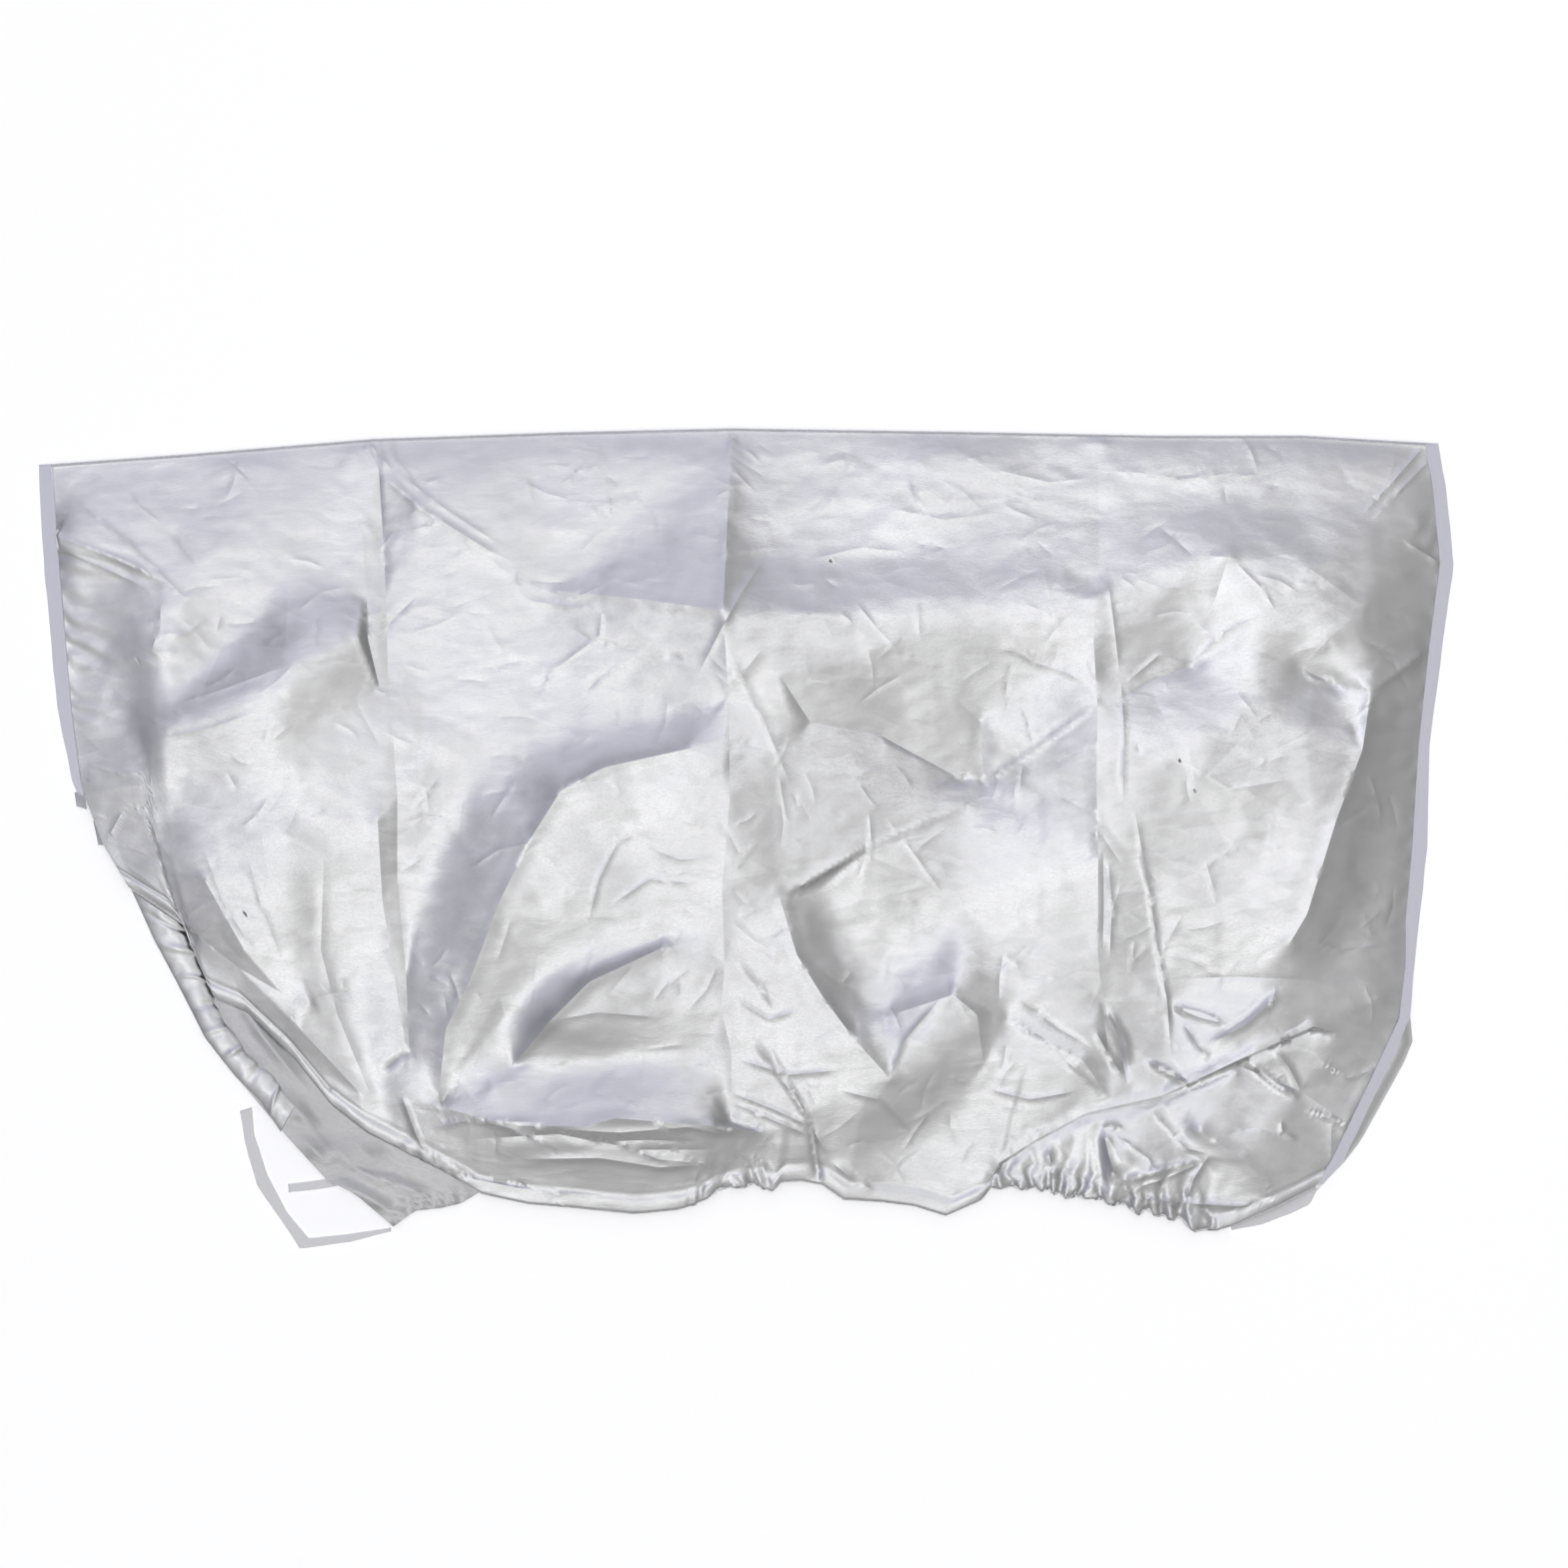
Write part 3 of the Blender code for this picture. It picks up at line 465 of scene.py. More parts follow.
def snapToFolds(plan, lines):
    # grid points nearest to a crisp line move onto it
    rows, columns = plan.shape[:2]
    tree = kdtree.KDTree(rows * columns)
    flat = plan.reshape(-1, 2)
    for i, (x, y) in enumerate(flat.tolist()):
        tree.insert((x, y, 0.0), i)
    tree.balance()
    found = {}
    for number, line in enumerate(lines):
        for start, end in zip(line, line[1:]):
            count = max(int(math.dist(start[:2], end[:2]) / cloth["snapStep"]), 1)
            nearest = []
            for k in range(count + 1):
                x, y = (p + k / count * (q - p) for p, q in zip(start[:2], end[:2]))
                _, index, gap = tree.find((x, y, 0.0))
                if gap < cloth["snapReach"]:
                    nearest.append((index // columns, index % columns, gap, x, y))
            if not nearest:
                continue
            # one grid point for each row, or for each column, that the fold crosses
            spans = [max(n[k] for n in nearest) - min(n[k] for n in nearest) for k in (0, 1)]
            lane = 0 if spans[0] >= spans[1] else 1
            best = {}
            for n in nearest:
                if n[lane] not in best or n[2] < best[n[lane]][2]:
                    best[n[lane]] = n
            for row, column, gap, x, y in best.values():
                index = row * columns + column
                if index not in found or gap < found[index][0]:
                    found[index] = (gap, x, y, number)
    onFold = np.full(rows * columns, -1)
    for index, (_, x, y, number) in sorted(found.items(), key=lambda item: item[1][3]):
        row, column = divmod(index, columns)
        if row in (0, rows - 1) or column in (0, columns - 1):
            continue
        # where two lines meet, only the first one moves the points between them
        around = flat.reshape(rows, columns, 2)[row - 1:row + 2, column - 1:column + 2]
        gaps = np.hypot(around[..., 0] - x, around[..., 1] - y)
        gaps[1, 1] = math.inf
        if gaps.min() < cloth["snapClear"]:
            continue
        # three corners of one grid square on the same line would leave a sliver
        same = onFold.reshape(rows, columns)[row - 1:row + 2, column - 1:column + 2] == number
        if max(same[i:i + 2, j:j + 2].sum() for i in (0, 1) for j in (0, 1)) > 1:
            continue
        flat[index] = x, y
        onFold[index] = number
    plan[:] = flat.reshape(plan.shape)
    return onFold.reshape(rows, columns)


def relax(height, times):
    # each inner grid point goes to the mean of its neighbours
    for _ in range(times):
        mean = (height[:-2, 1:-1] + height[2:, 1:-1] + height[1:-1, :-2] + height[1:-1, 2:]) / 4
        height[1:-1, 1:-1] += mean - height[1:-1, 1:-1]


def pathDistance(x, y, points):
    # distance to a polyline, and how far along it as a share of its length
    gap = np.full(x.shape, 1e9)
    share = np.zeros(x.shape)
    reach = np.concatenate([[0.0], np.cumsum([math.dist(a, b) for a, b in zip(points, points[1:])])])
    for k, ((ax, ay), (bx, by)) in enumerate(zip(points, points[1:])):
        run = max(math.dist((ax, ay), (bx, by)), 1e-6)
        t = np.clip(((x - ax) * (bx - ax) + (y - ay) * (by - ay)) / run ** 2, 0, 1)
        d = np.hypot(x - ax - t * (bx - ax), y - ay - t * (by - ay))
        closer = d < gap
        gap = np.where(closer, d, gap)
        share = np.where(closer, (reach[k] + t * run) / reach[-1], share)
    return gap, share


def addCrease(height, plan, points, rise, width):
    # soft ridge or trough along a line, dying out at its ends
    xs, ys = zip(*points)
    near = np.nonzero((plan[..., 0] > min(xs) - width) & (plan[..., 0] < max(xs) + width)
                      & (plan[..., 1] > min(ys) - width) & (plan[..., 1] < max(ys) + width))
    if not len(near[0]):
        return
    gap, share = pathDistance(plan[near][:, 0], plan[near][:, 1], points)
    ends = np.clip(np.minimum(share, 1 - share) * 5, 0, 1)
    height[near] += rise * ends * np.clip(1 - gap / width, 0, 1) ** 1.4


def followMoves(height, regular, plan):
    # a moved grid point takes the height at its new place
    dh = [(height[:, 2:] - height[:, :-2]) / 2, (height[2:] - height[:-2]) / 2]
    du = (regular[:, 2:] - regular[:, :-2]) / 2
    dv = (regular[2:] - regular[:-2]) / 2
    move = (plan - regular)[1:-1, 1:-1]
    (ux, uy), (vx, vy) = (np.moveaxis(d, -1, 0) for d in (du[1:-1], dv[:, 1:-1]))
    area = ux * vy - uy * vx
    a = (move[..., 0] * vy - move[..., 1] * vx) / area
    b = (ux * move[..., 1] - uy * move[..., 0]) / area
    height[1:-1, 1:-1] += a * dh[0][1:-1] + b * dh[1][:, 1:-1]


def scatteredCreases():
    # short seeded wrinkles as line, rise and width; they lie flatter towards the top fold
    dice = np.random.default_rng(wrinkles["seed"])
    found = []
    for k in range(wrinkles["count"]):
        x, y = dice.uniform(-500, 500), dice.uniform(-255, 292)
        lean = wrinkles["lean"] if y > 120 else wrinkles["leanLow"]
        angle = math.radians(dice.normal(0, lean))
        long = dice.uniform(*wrinkles["long"])
        bend = dice.uniform(-0.18, 0.18) * long
        dx, dy = math.cos(angle) * long / 2, math.sin(angle) * long / 2
        points = [(x - dx, y - dy), (x - dy * bend / long, y + dx * bend / long), (x + dx, y + dy)]
        rise = dice.uniform(*wrinkles["rise"]) * (1 if dice.random() < 0.65 else -1)
        found.append((points, rise, dice.uniform(*wrinkles["width"])))
    return found


def creaseShare(line):
    # the cloth is smoother towards the top fold
    return float(np.interp(np.mean([y for _, y in line]), [-190, 20], [0.95, 0.5]))


def crumpleNets():
    # random facets at each size, and the crisp lines among the large ones
    dice = np.random.default_rng(crumple["seed"])
    nets, crisp = [], []
    for size, rise in crumple["sizes"]:
        long = size * crumple["stretch"]
        net = facetNet([[(x + dice.uniform(-0.45, 0.45) * long, y + dice.uniform(-0.45, 0.45) * size,
                          dice.uniform(-rise, rise))]
                        for x in np.arange(-560, 561, long) for y in np.arange(-330, 341, size)])
        nets.append(net)
        if size >= crumple["crispFrom"]:
            crisp += [[tuple(net[0][i]), tuple(net[0][j])] for i, j in net[3]
                      if dice.random() < crumple["crispShare"]]
    return nets, [line for line in crisp if clearOfFolds(line)]


def clearOfFolds(line):
    spots = alongPath(line, np.linspace(0, 1, 7))
    for fold in folds.values():
        if fold.crisp:
            gap, _ = pathDistance(spots[:, 0], spots[:, 1], [p[:2] for p in fold.points])
            if gap.min() < crumple["clear"]:
                return False
    return True


def photoPoint(px, py):
    k = photo["mmPerPixel"]
    return (k * (px - photo["originX"]), k * (photo["originY"] - py))


def makeMesh(name, points, faces, uvs=None, smooth=True):
    mesh = bpy.data.meshes.new(name)
    mesh.from_pydata((np.asarray(points) * mm).tolist(), [], faces)
    if smooth:
        mesh.polygons.foreach_set("use_smooth", [True] * len(mesh.polygons))
    if uvs is not None:
        layer = mesh.uv_layers.new(name="flat")
        loops = np.empty(len(mesh.loops), int)
        mesh.loops.foreach_get("vertex_index", loops)
        layer.data.foreach_set("uv", (np.asarray(uvs)[loops] * mm).ravel())
    mesh.validate()
    obj = bpy.data.objects.new(name, mesh)
    bpy.context.scene.collection.objects.link(obj)
    return obj


def frontLayer():
    radius = cloth["foldRadius"]
    top = [(x, y - radius) for x, y in topFold]
    left = [(x, y - radius * (i == 0)) for i, (x, y) in enumerate(leftSeam)]
    right = [(x, y - radius * (i == 0)) for i, (x, y) in enumerate(rightSeam)]
    u = np.linspace(0, 1, cloth["columns"] + 1)
    v = np.linspace(0, 1, cloth["frontRows"] + 1)
    plan = patchGrid(u, v, top, frontMouth, left, right)
    edges = [[(x, y, 2 * radius) for x, y in top], [(x, y, cloth["seamHeight"]) for x, y in left],
             [(x, y, cloth["seamHeight"]) for x, y in right],
             [(x, y, cloth["mouthHeight"]) for x, y in frontMouth]]
    nets, crumpleLines = crumpleNets()
    crispFolds = [[p[:2] for p in fold.points] for fold in folds.values() if fold.crisp]
    lines = [[photoPoint(*p) for p in crease.points] for crease in creases]
    small = [(line, crease.rise * creaseShare(line), crease.width)
             for line, crease in zip(lines, creases)] + scatteredCreases()
    regular = plan.copy()
    onFold = snapToFolds(plan, crispFolds + [line for line, _, _ in small] + crumpleLines)
    net = facetNet([fold.points for fold in folds.values()] + edges)
    sharp = netHeights(net, plan)
    rounded = netHeights(net, regular)
    relax(rounded, cloth["relaxTimes"])
    followMoves(rounded, regular, plan)
    x, y = plan[..., 0], plan[..., 1]
    gap = np.full(x.shape, 1e9)
    for line in crispFolds:
        gap = np.minimum(gap, pathDistance(x, y, line)[0])
    keep = np.exp(-(gap / cloth["crispReach"]) ** 2)
    height = keep * sharp + (1 - keep) * rounded
    for line, rise, width in small:
        addCrease(height, plan, line, rise, width)
    fromTop, fromEdge = surface["fadeTop"], surface["fadeEdge"]
    inside = (smoothStep(v, 0, fromTop) * smoothStep(v, 1, 1 - fromEdge))[:, None] \
        * (smoothStep(u, 0, fromEdge) * smoothStep(u, 1, 1 - fromEdge))[None, :]
    height += inside * (sum(netHeights(net, plan) for net in nets) + noiseOf(x, y, surface["swell"])
                        + noiseOf(x, y * surface["rippleStretch"], surface["ripple"]))
    edge = np.maximum(y - y[-1:, :], 0)
    gatherMouth(height, plan, edge)
    gatherSeams(height, x, y)
    height += channel["rise"] * np.sin(math.pi * np.clip(edge / channel["width"], 0, 1))
    height -= channel["groove"] * np.exp(-((edge - channel["grooveAt"]) / channel["grooveWidth"]) ** 2)
    return plan, np.maximum(height, cloth["frontLow"]), onFold


def gatherMouth(height, plan, edge):
    # rounded rolls with sharp valleys between them; the edge puckers with them
    form = gatherForm
    x, y = plan[..., 0], plan[..., 1]
    wander = noiseOf(x, y * form["wanderStretch"], form["wander"]) + noiseOf(x, y, form["tremble"])
    for g in gathers:
        within = smoothStep(x, g.start - form["lead"], g.start + form["ease"]) \
            * smoothStep(x, g.end + form["lead"], g.end - form["ease"])
        phase = 2 * math.pi * (x + wander - g.start) / g.pitch
        size = 1 + form["uneven"] * softNoise(x, y * 0, g.pitch * form["unevenPitch"], 21)
        fade = np.exp(-edge / g.reach)
        roll = np.abs(np.sin(phase / 2)) - form["low"]
        second = np.sin(form["secondRate"] * phase + edge / form["secondReach"])
        wave = form["roll"] * roll + form["second"] * second
        height += g.rise * size * within * wave * fade
        height += within * fade * noiseOf(x, y, form["rough"])
        plan[..., 1] -= g.pucker * within * roll * size * fade ** 2


def gatherSeams(height, x, y):
    form = seamForm
    for g in seamGathers:
        seam = (x[:, :1] if g.side < 0 else x[:, -1:])
        away = np.abs(x - seam)
        within = smoothStep(y, g.start - form["fade"], g.start + form["fade"]) \
            * smoothStep(y, g.end + form["fade"], g.end - form["fade"])
        place = y + form["slant"] * away + noiseOf(x, y, form["wander"])
        wave = np.sin(2 * math.pi * place / g.pitch)
        size = 1 + form["uneven"] * softNoise(x * 0, y, g.pitch * form["unevenPitch"], 33)
        height += g.rise * size * within * wave * np.exp(-away / g.reach) \
            * smoothStep(away, 0, form["clear"])


# Back layer: where it climbs over the film, its own unevenness, the flap that shows beside the
# right tape, the tuft at its lower tip, and how far from the mouth painted shade darkens its inside
back = {"filmY": (-105, -172), "filmX": (-180, -240), "low": 0.3, "hemRise": 0.3, "hemEase": 1.2,
        "swell": 0.5, "swellCell": 22, "swellReach": (60, 20), "flapRise": 1.8, "flapReach": (0.5, 9),
        "flapX": (435, 450), "flapY": (-95, -115), "tuftRise": 1.1, "tuftRate": 0.62,
        "tuftReach": 9, "paintedShadeReach": (120, 80), "paintedShadeX": (-150, -200)}


def backLift(x, y):
    # the back layer lies over the film at the lower left
    return cloth["filmLift"] * smoothStep(y, *back["filmY"]) * smoothStep(x, *back["filmX"])


def backLayer():
    radius = cloth["foldRadius"]
    top = [(x, y - radius) for x, y in topFold]
    left = [(x, y - radius * (i == 0)) for i, (x, y) in enumerate(backLeft)]
    right = [(x, y - radius * (i == 0)) for i, (x, y) in enumerate(backRight)]
    u = np.linspace(0, 1, cloth["columns"] + 1)
    plan = patchGrid(u, np.array(cloth["backShares"], float), top, backMouth, left, right)
    x, y = plan[..., 0], plan[..., 1]
    height = backLift(x, y)
    gap, _ = pathDistance(x, y, backLeft[6:] + backMouth[1:])
    hem = smoothStep(gap, cloth["hemWidth"] + back["hemEase"], cloth["hemWidth"] - back["hemEase"])
    swell = back["swell"] * (1 + softNoise(x, y, back["swellCell"], 41))
    height = height + back["low"] + back["hemRise"] * hem \
        + swell * smoothStep(gap, *back["swellReach"])
    flap, _ = pathDistance(x, y, backRight[7:])
    height += back["flapRise"] * smoothStep(flap, *back["flapReach"]) \
        * smoothStep(x, *back["flapX"]) * smoothStep(y, *back["flapY"])
    for crease in backCreases:
        addCrease(height, plan, [photoPoint(*p) for p in crease.points], crease.rise, crease.width)
    tuft = back["tuftRise"] * np.sin(x * back["tuftRate"] + 2 * softNoise(x, y, 12, 43)) \
        * np.exp(-gap / back["tuftReach"])
    tip = smoothStep(x, -205, -215) * smoothStep(x, -275, -262) * smoothStep(y, -262, -270)
    return plan, height + np.maximum(tuft, -0.1) * tip


def buildCloth():
    radius = cloth["foldRadius"]
    plan, height, onFold = frontLayer()
    under = slice(cloth["frontRows"] - cloth["hemRows"], cloth["frontRows"] + 1)
    front = np.dstack([plan, height])
    hem = front[under].copy()
    hem[..., 2] -= cloth["hemGap"]
    hem[-1, :, 2] += cloth["hemGap"] - cloth["hemEdgeGap"]
    rows = [hem, front[::-1]]
    topLine = front[0]
    turn = []
    for k in range(1, cloth["turnRows"] + 1):
        angle = math.pi * (0.5 - k / (cloth["turnRows"] + 1))
        turn.append(np.stack([topLine[:, 0], topLine[:, 1] + radius * math.cos(angle),
                              np.full(len(topLine),
                                      cloth["underTurn"] + radius + radius * math.sin(angle))], -1))
    rows.append(np.array(turn))
    backPlan, backHeight = backLayer()
    rows.append(np.dstack([backPlan, backHeight]))
    grid = np.concatenate(rows)
    count, columns = grid.shape[:2]
    # flat pattern: the back layer is laid out beyond the top fold
    pattern = grid[..., :2].copy()
    turned = len(hem) + len(front)
    pattern[turned:, :, 1] = 700 - pattern[turned:, :, 1]
    index = np.arange(count * columns).reshape(count, columns)
    a, b = index[:-1, :-1].ravel(), index[:-1, 1:].ravel()
    c, d = index[1:, 1:].ravel(), index[1:, :-1].ravel()
    z = grid[..., 2].ravel()
    folded = np.full((count, columns), -1)
    folded[len(hem):turned] = onFold[::-1]
    folded = folded.ravel()
    first, second = ((folded[p] >= 0) & (folded[p] == folded[q]) for p, q in ((a, c), (b, d)))
    short = np.where(first != second, first, np.abs(z[a] - z[c]) < np.abs(z[b] - z[d]))
    faces = np.concatenate([np.stack([a[short], b[short], c[short]], 1),
                            np.stack([a[short], c[short], d[short]], 1),
                            np.stack([a[~short], b[~short], d[~short]], 1),
                            np.stack([b[~short], c[~short], d[~short]], 1)])
    obj = makeMesh("cover_cloth_sheet", grid.reshape(-1, 3), faces.tolist(), pattern.reshape(-1, 2))
    # crisp shading along the folds
    ends = np.empty(2 * len(obj.data.edges), int)
    obj.data.edges.foreach_get("vertices", ends)
    pairs = folded[ends.reshape(-1, 2)]
    sharp = (pairs[:, 0] >= 0) & (pairs[:, 0] == pairs[:, 1])
    obj.data.edges.foreach_set("use_edge_sharp", sharp)
    # painted shade: the back layer is darkened inside the mouth, standing in for the shade within the bag
    inner = np.zeros((count, columns))
    gap, _ = pathDistance(backPlan[..., 0], backPlan[..., 1], backLeft[6:] + backMouth[1:4])
    inner[turned + len(turn):] = smoothStep(gap, *back["paintedShadeReach"]) \
        * smoothStep(backPlan[..., 0], *back["paintedShadeX"])
    # the inside attribute carries the painted shade mask
    shade = obj.data.attributes.new("inside", "FLOAT", "POINT")
    shade.data.foreach_set("value", inner.ravel())
    return obj


# Turned-in hem of the back layer, lower left: x and y of its two edges, then the cross pleats
hemStrip = {"low": 1.5, "rise": 2.4, "across": 18, "pitch": 1.6, "waver": 1.3, "slant": 9,
            "pleats": [.08, .2, .33, .45, .56, .68, .8, .93], "pleatRise": 1.3, "pleatWidth": 4.5,
            "rough": (0.35, 7, 93)}
hemOuter = [(129, 892), (150, 939), (173, 982), (203, 1040), (233, 1078), (259, 1104), (279, 1134)]
hemInner = [(178, 926), (193, 950), (205, 985), (220, 1020), (246, 1056), (272, 1079), (293, 1106)]


def buildHemStrip():
    outer = [photoPoint(*p) for p in hemOuter]
    inner = [photoPoint(*p) for p in hemInner]
    long = sum(math.dist(a, b) for a, b in zip(outer, outer[1:]))
    rows = int(long / hemStrip["pitch"])
    shares = np.linspace(0, 1, rows + 1)
    first, second = alongPath(outer, shares)[:, None], alongPath(inner, shares)[:, None]
    t = np.linspace(0, 1, hemStrip["across"] + 1)[None, :]
    x, y = (first[..., k] + t * (second[..., k] - first[..., k]) for k in (0, 1))
    x = x + hemStrip["waver"] * t * softNoise(shares[:, None] * long + 0 * t, t * 7, 11, 91)
    along = shares[:, None] * long + hemStrip["slant"] * t + 3 * softNoise(x, y, 16, 92)
    arch = np.sin(math.pi * np.clip(t * 1.04 - 0.02, 0, 1)) ** 0.6
    height = hemStrip["low"] + backLift(x, y) + hemStrip["rise"] * arch
    for k, spot in enumerate(hemStrip["pleats"]):
        # pleats of uneven width, every third one sunk
        away = (along - spot * long) / (hemStrip["pleatWidth"] + 2 * math.sin(k * 2.4))
        pleat = np.maximum(1 - np.abs(away), 0) * (0.35 + 0.65 * t)
        height = height + hemStrip["pleatRise"] * pleat * (1 if k % 3 else -0.8)
    height = height + noiseOf(x, y, hemStrip["rough"])
    index = np.arange(x.size).reshape(x.shape)
    a, b, c, d = (index[:-1, :-1], index[:-1, 1:], index[1:, 1:], index[1:, :-1])
    faces = np.stack([a.ravel(), d.ravel(), c.ravel(), b.ravel()], 1)
    points = np.stack([x.ravel(), y.ravel(), height.ravel()], -1)
    obj = makeMesh("back_hem", points, faces.tolist(), points[:, :2])
    return obj, long


# Small tabs of seam allowance below the left tape: corners in photograph pixels
seamTabs = [[(82, 791), (71, 793), (73, 807), (84, 810)],
            [(98, 819), (90, 822), (95, 846), (103, 846)]]
tabForm = {"squares": 4, "high": 3.4, "drop": 2.2, "curl": 0.3}


def buildTabs():
    points, faces = [], []
    count = tabForm["squares"]
    for tab in seamTabs:
        corner = [np.array(photoPoint(*p)) for p in tab]
        first = len(points)
        for i in range(count + 1):
            for j in range(count + 1):
                a, b = i / count, j / count
                spot = (1 - a) * ((1 - b) * corner[0] + b * corner[1]) \
                    + a * ((1 - b) * corner[3] + b * corner[2])
                height = tabForm["high"] - tabForm["drop"] * b + tabForm["curl"] * math.sin(5 * a + 2 * b)
                points.append((spot[0], spot[1], height))
        for i in range(count):
            for j in range(count):
                near = first + i * (count + 1) + j
                faces.append((near, near + count + 1, near + count + 2, near + 1))
    return makeMesh("seam_tabs", points, faces, np.array(points)[:, :2])


tape = {"overlap": 1.6, "thick": 1.3, "pitch": 3.0, "sides": 14, "wobble": 0.35}

# Side tapes beside the seams: x, y and width of the tape, then heights of its two edges
TapeStation = namedtuple("TapeStation", "x y width inner outer")
leftTape = [
    TapeStation(-523.5, 281.5, 10.5, 4.6, 1.0), TapeStation(-521, 229, 11, 5.0, 0.9),
    TapeStation(-516.5, 176, 11, 5.0, 0.9), TapeStation(-510, 99, 10.5, 5.0, 0.9),
    TapeStation(-502.5, 42, 6, 5.0, 1.0), TapeStation(-500, 32, 4, 4.6, 1.4),
]
rightTape = [
    TapeStation(513, 297.5, 9.5, 4.6, 1.0), TapeStation(518.5, 264, 9.5, 5.0, 0.9),
    TapeStation(524, 207, 10, 5.0, 0.9), TapeStation(516, 145, 9.5, 5.0, 0.9),
    TapeStation(508, 71, 8, 5.0, 0.9), TapeStation(503, -8, 11, 5.0, 0.9),
    TapeStation(498, -63, 10, 5.0, 0.9), TapeStation(498, -96, 6, 5.2, 3.2),
    TapeStation(493, -136, 7.5, 5.4, 3.4), TapeStation(471, -183, 8.5, 5.4, 3.4),
    TapeStation(442, -243, 8.5, 5.4, 3.4), TapeStation(430, -261, 5, 5.2, 3.4),
]


def ribbon(name, first, second, thick, seed):
    # flattened tube between two edge lines of x, y and height
    mids = [tuple((p + q) / 2 for p, q in zip(a, b)) for a, b in zip(first, second)]
    length = sum(math.dist(a[:2], b[:2]) for a, b in zip(mids, mids[1:]))
    count = max(int(length / tape["pitch"]), 4)
    reach = np.concatenate([[0.0], np.cumsum([math.dist(a[:2], b[:2])
                                             for a, b in zip(mids, mids[1:])])]) / length
    shares = np.linspace(0, 1, count + 1)
    inner = np.stack([np.interp(shares, reach, axis) for axis in np.array(first, float).T], -1)
    outer = np.stack([np.interp(shares, reach, axis) for axis in np.array(second, float).T], -1)
    where = shares * length
    across = outer - inner
    across /= np.linalg.norm(across[:, :2], axis=1, keepdims=True)
    outer += across * (tape["wobble"] * softNoise(where, where * 0, 17, seed))[:, None]
    points, uvs = [], []
    for k in range(count + 1):
        width = np.linalg.norm(outer[k] - inner[k])
        for s in range(tape["sides"]):
            angle = 2 * math.pi * s / tape["sides"]
            side = 0.5 - 0.5 * math.copysign(abs(math.cos(angle)) ** 0.45, math.cos(angle))
            lift = 0.5 * thick * math.copysign(abs(math.sin(angle)) ** 0.6, math.sin(angle))
            spot = inner[k] + side * (outer[k] - inner[k])
            lift += 0.22 * float(softNoise(where[k:k + 1], np.array([side * 6]), 9, seed + 1)[0])
            points.append((spot[0], spot[1], max(spot[2] + lift, 0.12)))
            uvs.append((where[k], side * width))
    n = tape["sides"]
    faces = [(k * n + s, k * n + (s + 1) % n, (k + 1) * n + (s + 1) % n, (k + 1) * n + s)
             for k in range(count) for s in range(n)]
    faces.append(tuple(range(n))[::-1])
    faces.append(tuple(count * n + s for s in range(n)))
    obj = makeMesh(name, points, faces, uvs)
    bpy.context.view_layer.objects.active = obj
    obj.select_set(True)
    bpy.ops.object.mode_set(mode="EDIT")
    bpy.ops.mesh.select_all(action="SELECT")
    bpy.ops.mesh.normals_make_consistent(inside=False)
    bpy.ops.object.mode_set(mode="OBJECT")
    obj.select_set(False)
    return obj, inner, outer


def sideTape(name, stations, side, seed):
    inner = [(s.x - side * tape["overlap"], s.y, s.inner + 0.6) for s in stations]
    outer = [(s.x + side * (s.width - 0.3), s.y, s.outer) for s in stations]
    return ribbon(name, inner, outer, tape["thick"], seed)


def stitches(name, line, step, long, thick):
    # short stitches lying along a line of x, y and height
    reach = np.concatenate([[0.0], np.cumsum(np.linalg.norm(np.diff(line, axis=0), axis=1))])
    points, faces = [], []
    where = 1.0
    while where + long < reach[-1]:
        a, b = (np.array([np.interp(w, reach, axis) for axis in line.T]) for w in (where, where + long))
        run = b - a
        sideways = np.array([-run[1], run[0], 0.0])
        sideways /= np.linalg.norm(sideways)
        first = len(points)
        for share, size in ((0, .25), (.2, .85), (.5, 1), (.8, .85), (1, .25)):
            for s in range(6):
                angle = math.pi * s / 3
                spot = a + share * run + thick / 2 * size * math.cos(angle) * sideways
                points.append((spot[0], spot[1], spot[2] + thick / 2 * size * math.sin(angle)))
        for k in range(4):
            for s in range(6):
                faces.append((first + k * 6 + s, first + k * 6 + (s + 1) % 6,
                              first + (k + 1) * 6 + (s + 1) % 6, first + (k + 1) * 6 + s))
        where += step
    return makeMesh(name, points, faces)


# Clear film of the left end and the bindings of both end panels: x and y of the two edges
film = {"height": 1.0, "wave": 0.35, "underCloth": [(-262, -272), (-280, -235), (-330, -203),
                                                    (-352, -194)]}
filmEdgeOuter = [(-382, -206), (-379, -227.5), (-369.5, -262), (-352, -287), (-337, -310),
                 (-299, -305), (-268, -297)]
filmEdgeInner = [(-373, -203), (-371, -224), (-361, -254.5), (-346, -283), (-330, -302),
                 (-299, -298.6), (-268, -294)]
strapUpper = [(-345.5, -261), (-318, -257.5), (-298, -253)]
strapLower = [(-345, -267.5), (-317, -264), (-297, -260)]
endEdgeOuter = [(430, -265), (425, -276), (409, -284), (389.5, -291), (366, -296)]
endEdgeInner = [(424, -259.5), (414, -264), (398, -270), (380, -277), (362, -284)]


